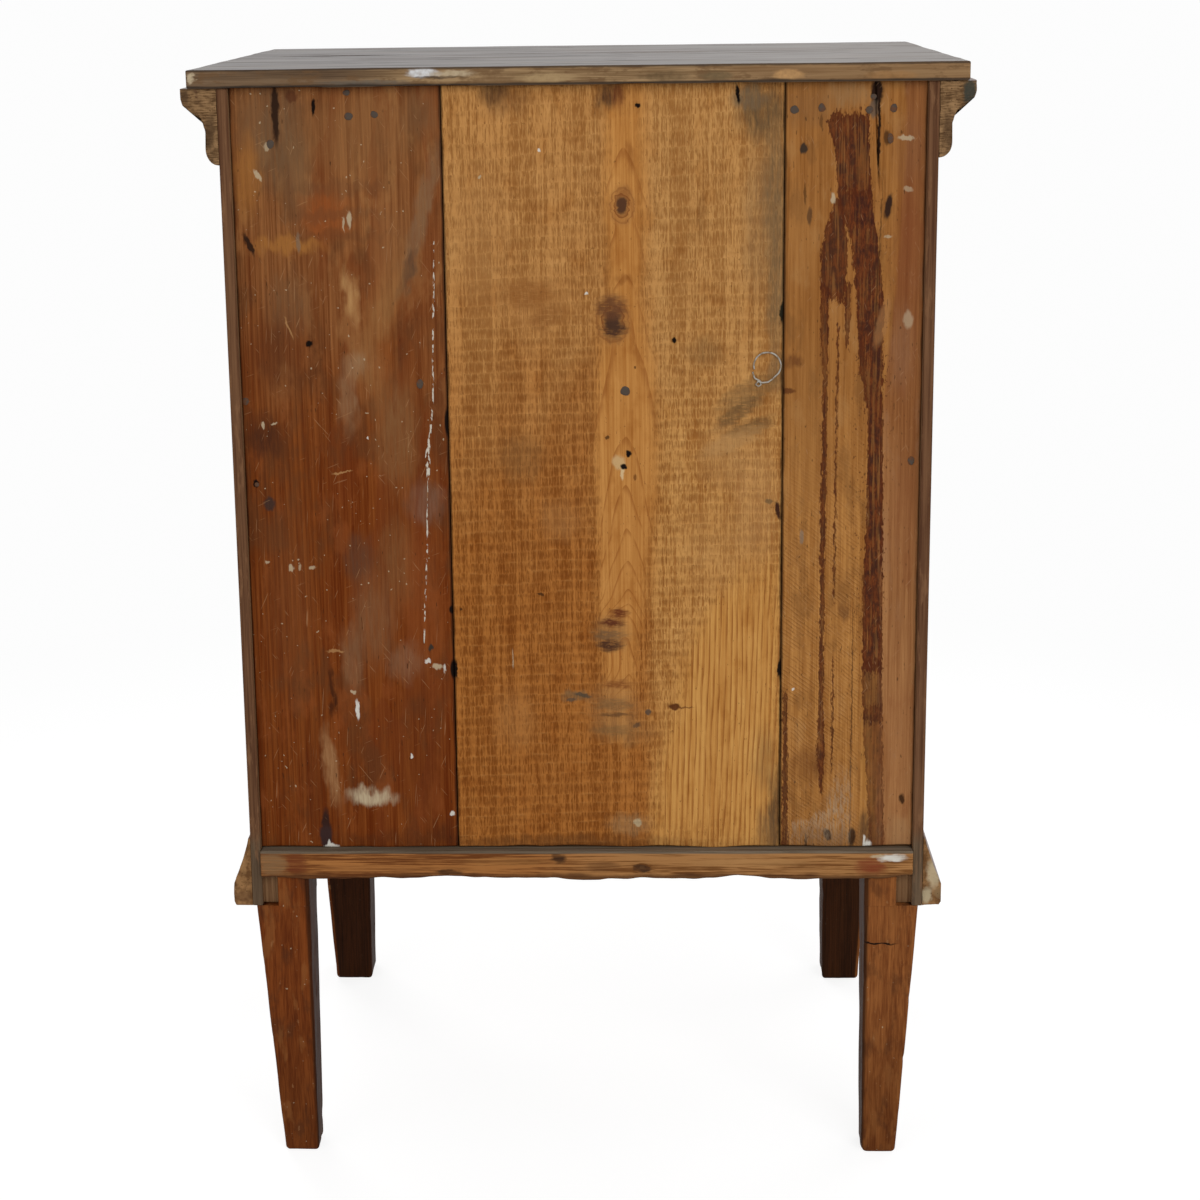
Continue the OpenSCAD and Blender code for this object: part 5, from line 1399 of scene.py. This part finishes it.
def make_world():
    world = bpy.data.worlds.new("studio")
    bpy.context.scene.world = world
    world.use_nodes = True
    t = Stage(world.node_tree)
    dim, bright = (t.plain("ShaderNodeBackground", level) for level in (AMBIENT, WHITE))
    t.node("ShaderNodeOutputWorld", t.choose(t.shown(), dim, bright))


def make_floor():
    """A pale floor: it takes the cabinet's shadow near it, and is plain white further off."""
    mesh = bpy.data.meshes.new("floor")
    corners = [(-1, -1), (1, -1), (1, 1), (-1, 1)]
    mesh.from_pydata([(x * FLOOR_HALF, y * FLOOR_HALF, 0) for x, y in corners], [], [(0, 1, 2, 3)])
    floor = add_object("floor", mesh)
    material = bpy.data.materials.new("floor")
    material.use_nodes = True
    t = Stage(material.node_tree)
    place = t.node("ShaderNodeTexCoord").outputs["Object"]
    away = t.node("ShaderNodeVectorMath", place, operation="LENGTH").outputs["Value"]
    near = t.plain("ShaderNodeBsdfDiffuse", FLOOR_MATTE)
    near = t.node("ShaderNodeAddShader", near, t.plain("ShaderNodeEmission", FLOOR_GLOW)).outputs[0]
    seen = t.choose(t.fade(away, *SHADOW_FADE), near, t.plain("ShaderNodeEmission", WHITE))
    hidden = t.plain("ShaderNodeBsdfDiffuse", FLOOR_HIDDEN)
    t.node("ShaderNodeOutputMaterial", t.choose(t.shown(), hidden, seen))
    mesh.materials.append(material)


def add_lamp(name, place, size, power):
    data = bpy.data.lights.new(name, "AREA")
    data.shape = "SQUARE"
    data.size = size
    data.energy = power
    lamp = add_object(name, data)
    lamp.location = place
    lamp.visible_glossy = False
    aim = Vector(LAMP_AIM) - Vector(place)
    lamp.rotation_euler = aim.to_track_quat("-Z", "Y").to_euler()


# Build

make_camera()
make_world()
make_floor()
for lamp in LAMPS:
    add_lamp(*lamp)

BACK_Y = box_mm("side_panel_right")[1][1]
materials = {
    "case_z": plain_case("case_upright", "z"),
    "case_x": plain_case("case_level", "x"),
    "panel": plain_case("case_panel", "z", 1.15, 0.33),
    "drawer": plain_case("case_drawer", "x", 1.1, 0.33),
    "side": side_wood("side_wood"),
    "moulding": moulding_wood("moulding_side", "y", BACK_Y),
    "moulding_front": plain_case("moulding_front", "x", 0.9, 0.34),
    "raw_x": plain_raw("raw_level", "x"),
    "raw_y": plain_raw("raw_deep", "y"),
    "leg": leg_wood(),
    "brass": brass(),
    "iron": iron(),
    "wire": iron("wire", (0.42, 0.39, 0.34), (0.24, 0.17, 0.11)),
    "top": top_wood(),
}

# The streaked board's crack: x at its upper end, lean, and heights of its lower and upper end
CRACK = (-205.0, 0.046, 651.0, 803.0)
back_board("back_board_right", stained_back(), (4.0, 4.0, 5.0), 3)
back_board("back_board_middle", honey_back(), (4.0, 4.0, 3.0), 7)
back_board("back_board_left", streaked_back(), (3.0, 4.0, 5.0), 11, CRACK)
top_board("top_rear_board", materials["top"], 15)
top_board("top_front_board", materials["top"], 19)
bottom_board(bottom_wood())
SIDES = ("left", "right")
for number, (part, side) in enumerate((part, side) for part in ("crown", "base") for side in SIDES):
    side_moulding(f"{part}_moulding_{side}", materials["moulding"], 51 + 5 * number)
for number, (end, side) in enumerate((end, side) for end in ("rear", "front") for side in SIDES):
    leg(f"leg_{end}_{side}", materials["leg"], 81 + 3 * number)
nails(materials["iron"])
wire(materials["wire"])

# Copies of CAD nodes with softened arrises, by finish, slot and width of the round-over
SOFTENED = {
    ("side", "case_wood", 0.9): "side_panel_left side_panel_right",
    ("case_z", "case_wood", 0.9): "stile_left stile_right door_stile_hinge door_stile_lock",
    ("case_x", "case_wood", 0.9): "divider_rail door_rail_top door_rail_low",
    ("case_x", "case_wood", 0.7): "top_rail sill_rail",
    ("moulding_front", "case_wood", 0.5): "crown_moulding_front base_moulding_front",
    ("drawer", "case_wood", 1.1): "drawer_front",
    ("panel", "case_wood", 0.5): "door_panel",
    ("raw_x", "raw_wood", 0.8): "partition_board rear_rail drawer_stops door_stop",
    ("raw_y", "raw_wood", 0.8): "drawer_guide_left drawer_guide_right kicker_left kicker_right",
    ("raw_y", "raw_wood", 0.6): "drawer_side_left drawer_side_right",
    ("raw_x", "raw_wood", 0.6): "drawer_back drawer_bottom",
}
for (finish, slot, width), names in SOFTENED.items():
    for name in names.split():
        softened(name, materials[finish], width)

CARRIED = {
    "case_z": "drawer_knob", "brass": "hinge_leaves_frame hinge_leaves_door hinge_pins escutcheon",
    "iron": "hinge_screws_frame hinge_screws_door lock_case lock_bolt key",
}
for finish, names in CARRIED.items():
    for name in names.split():
        mesh = cad_nodes[name].data
        mesh.materials.clear()
        mesh.materials.append(materials[finish])

bpy.context.scene.view_settings.view_transform = "Standard"
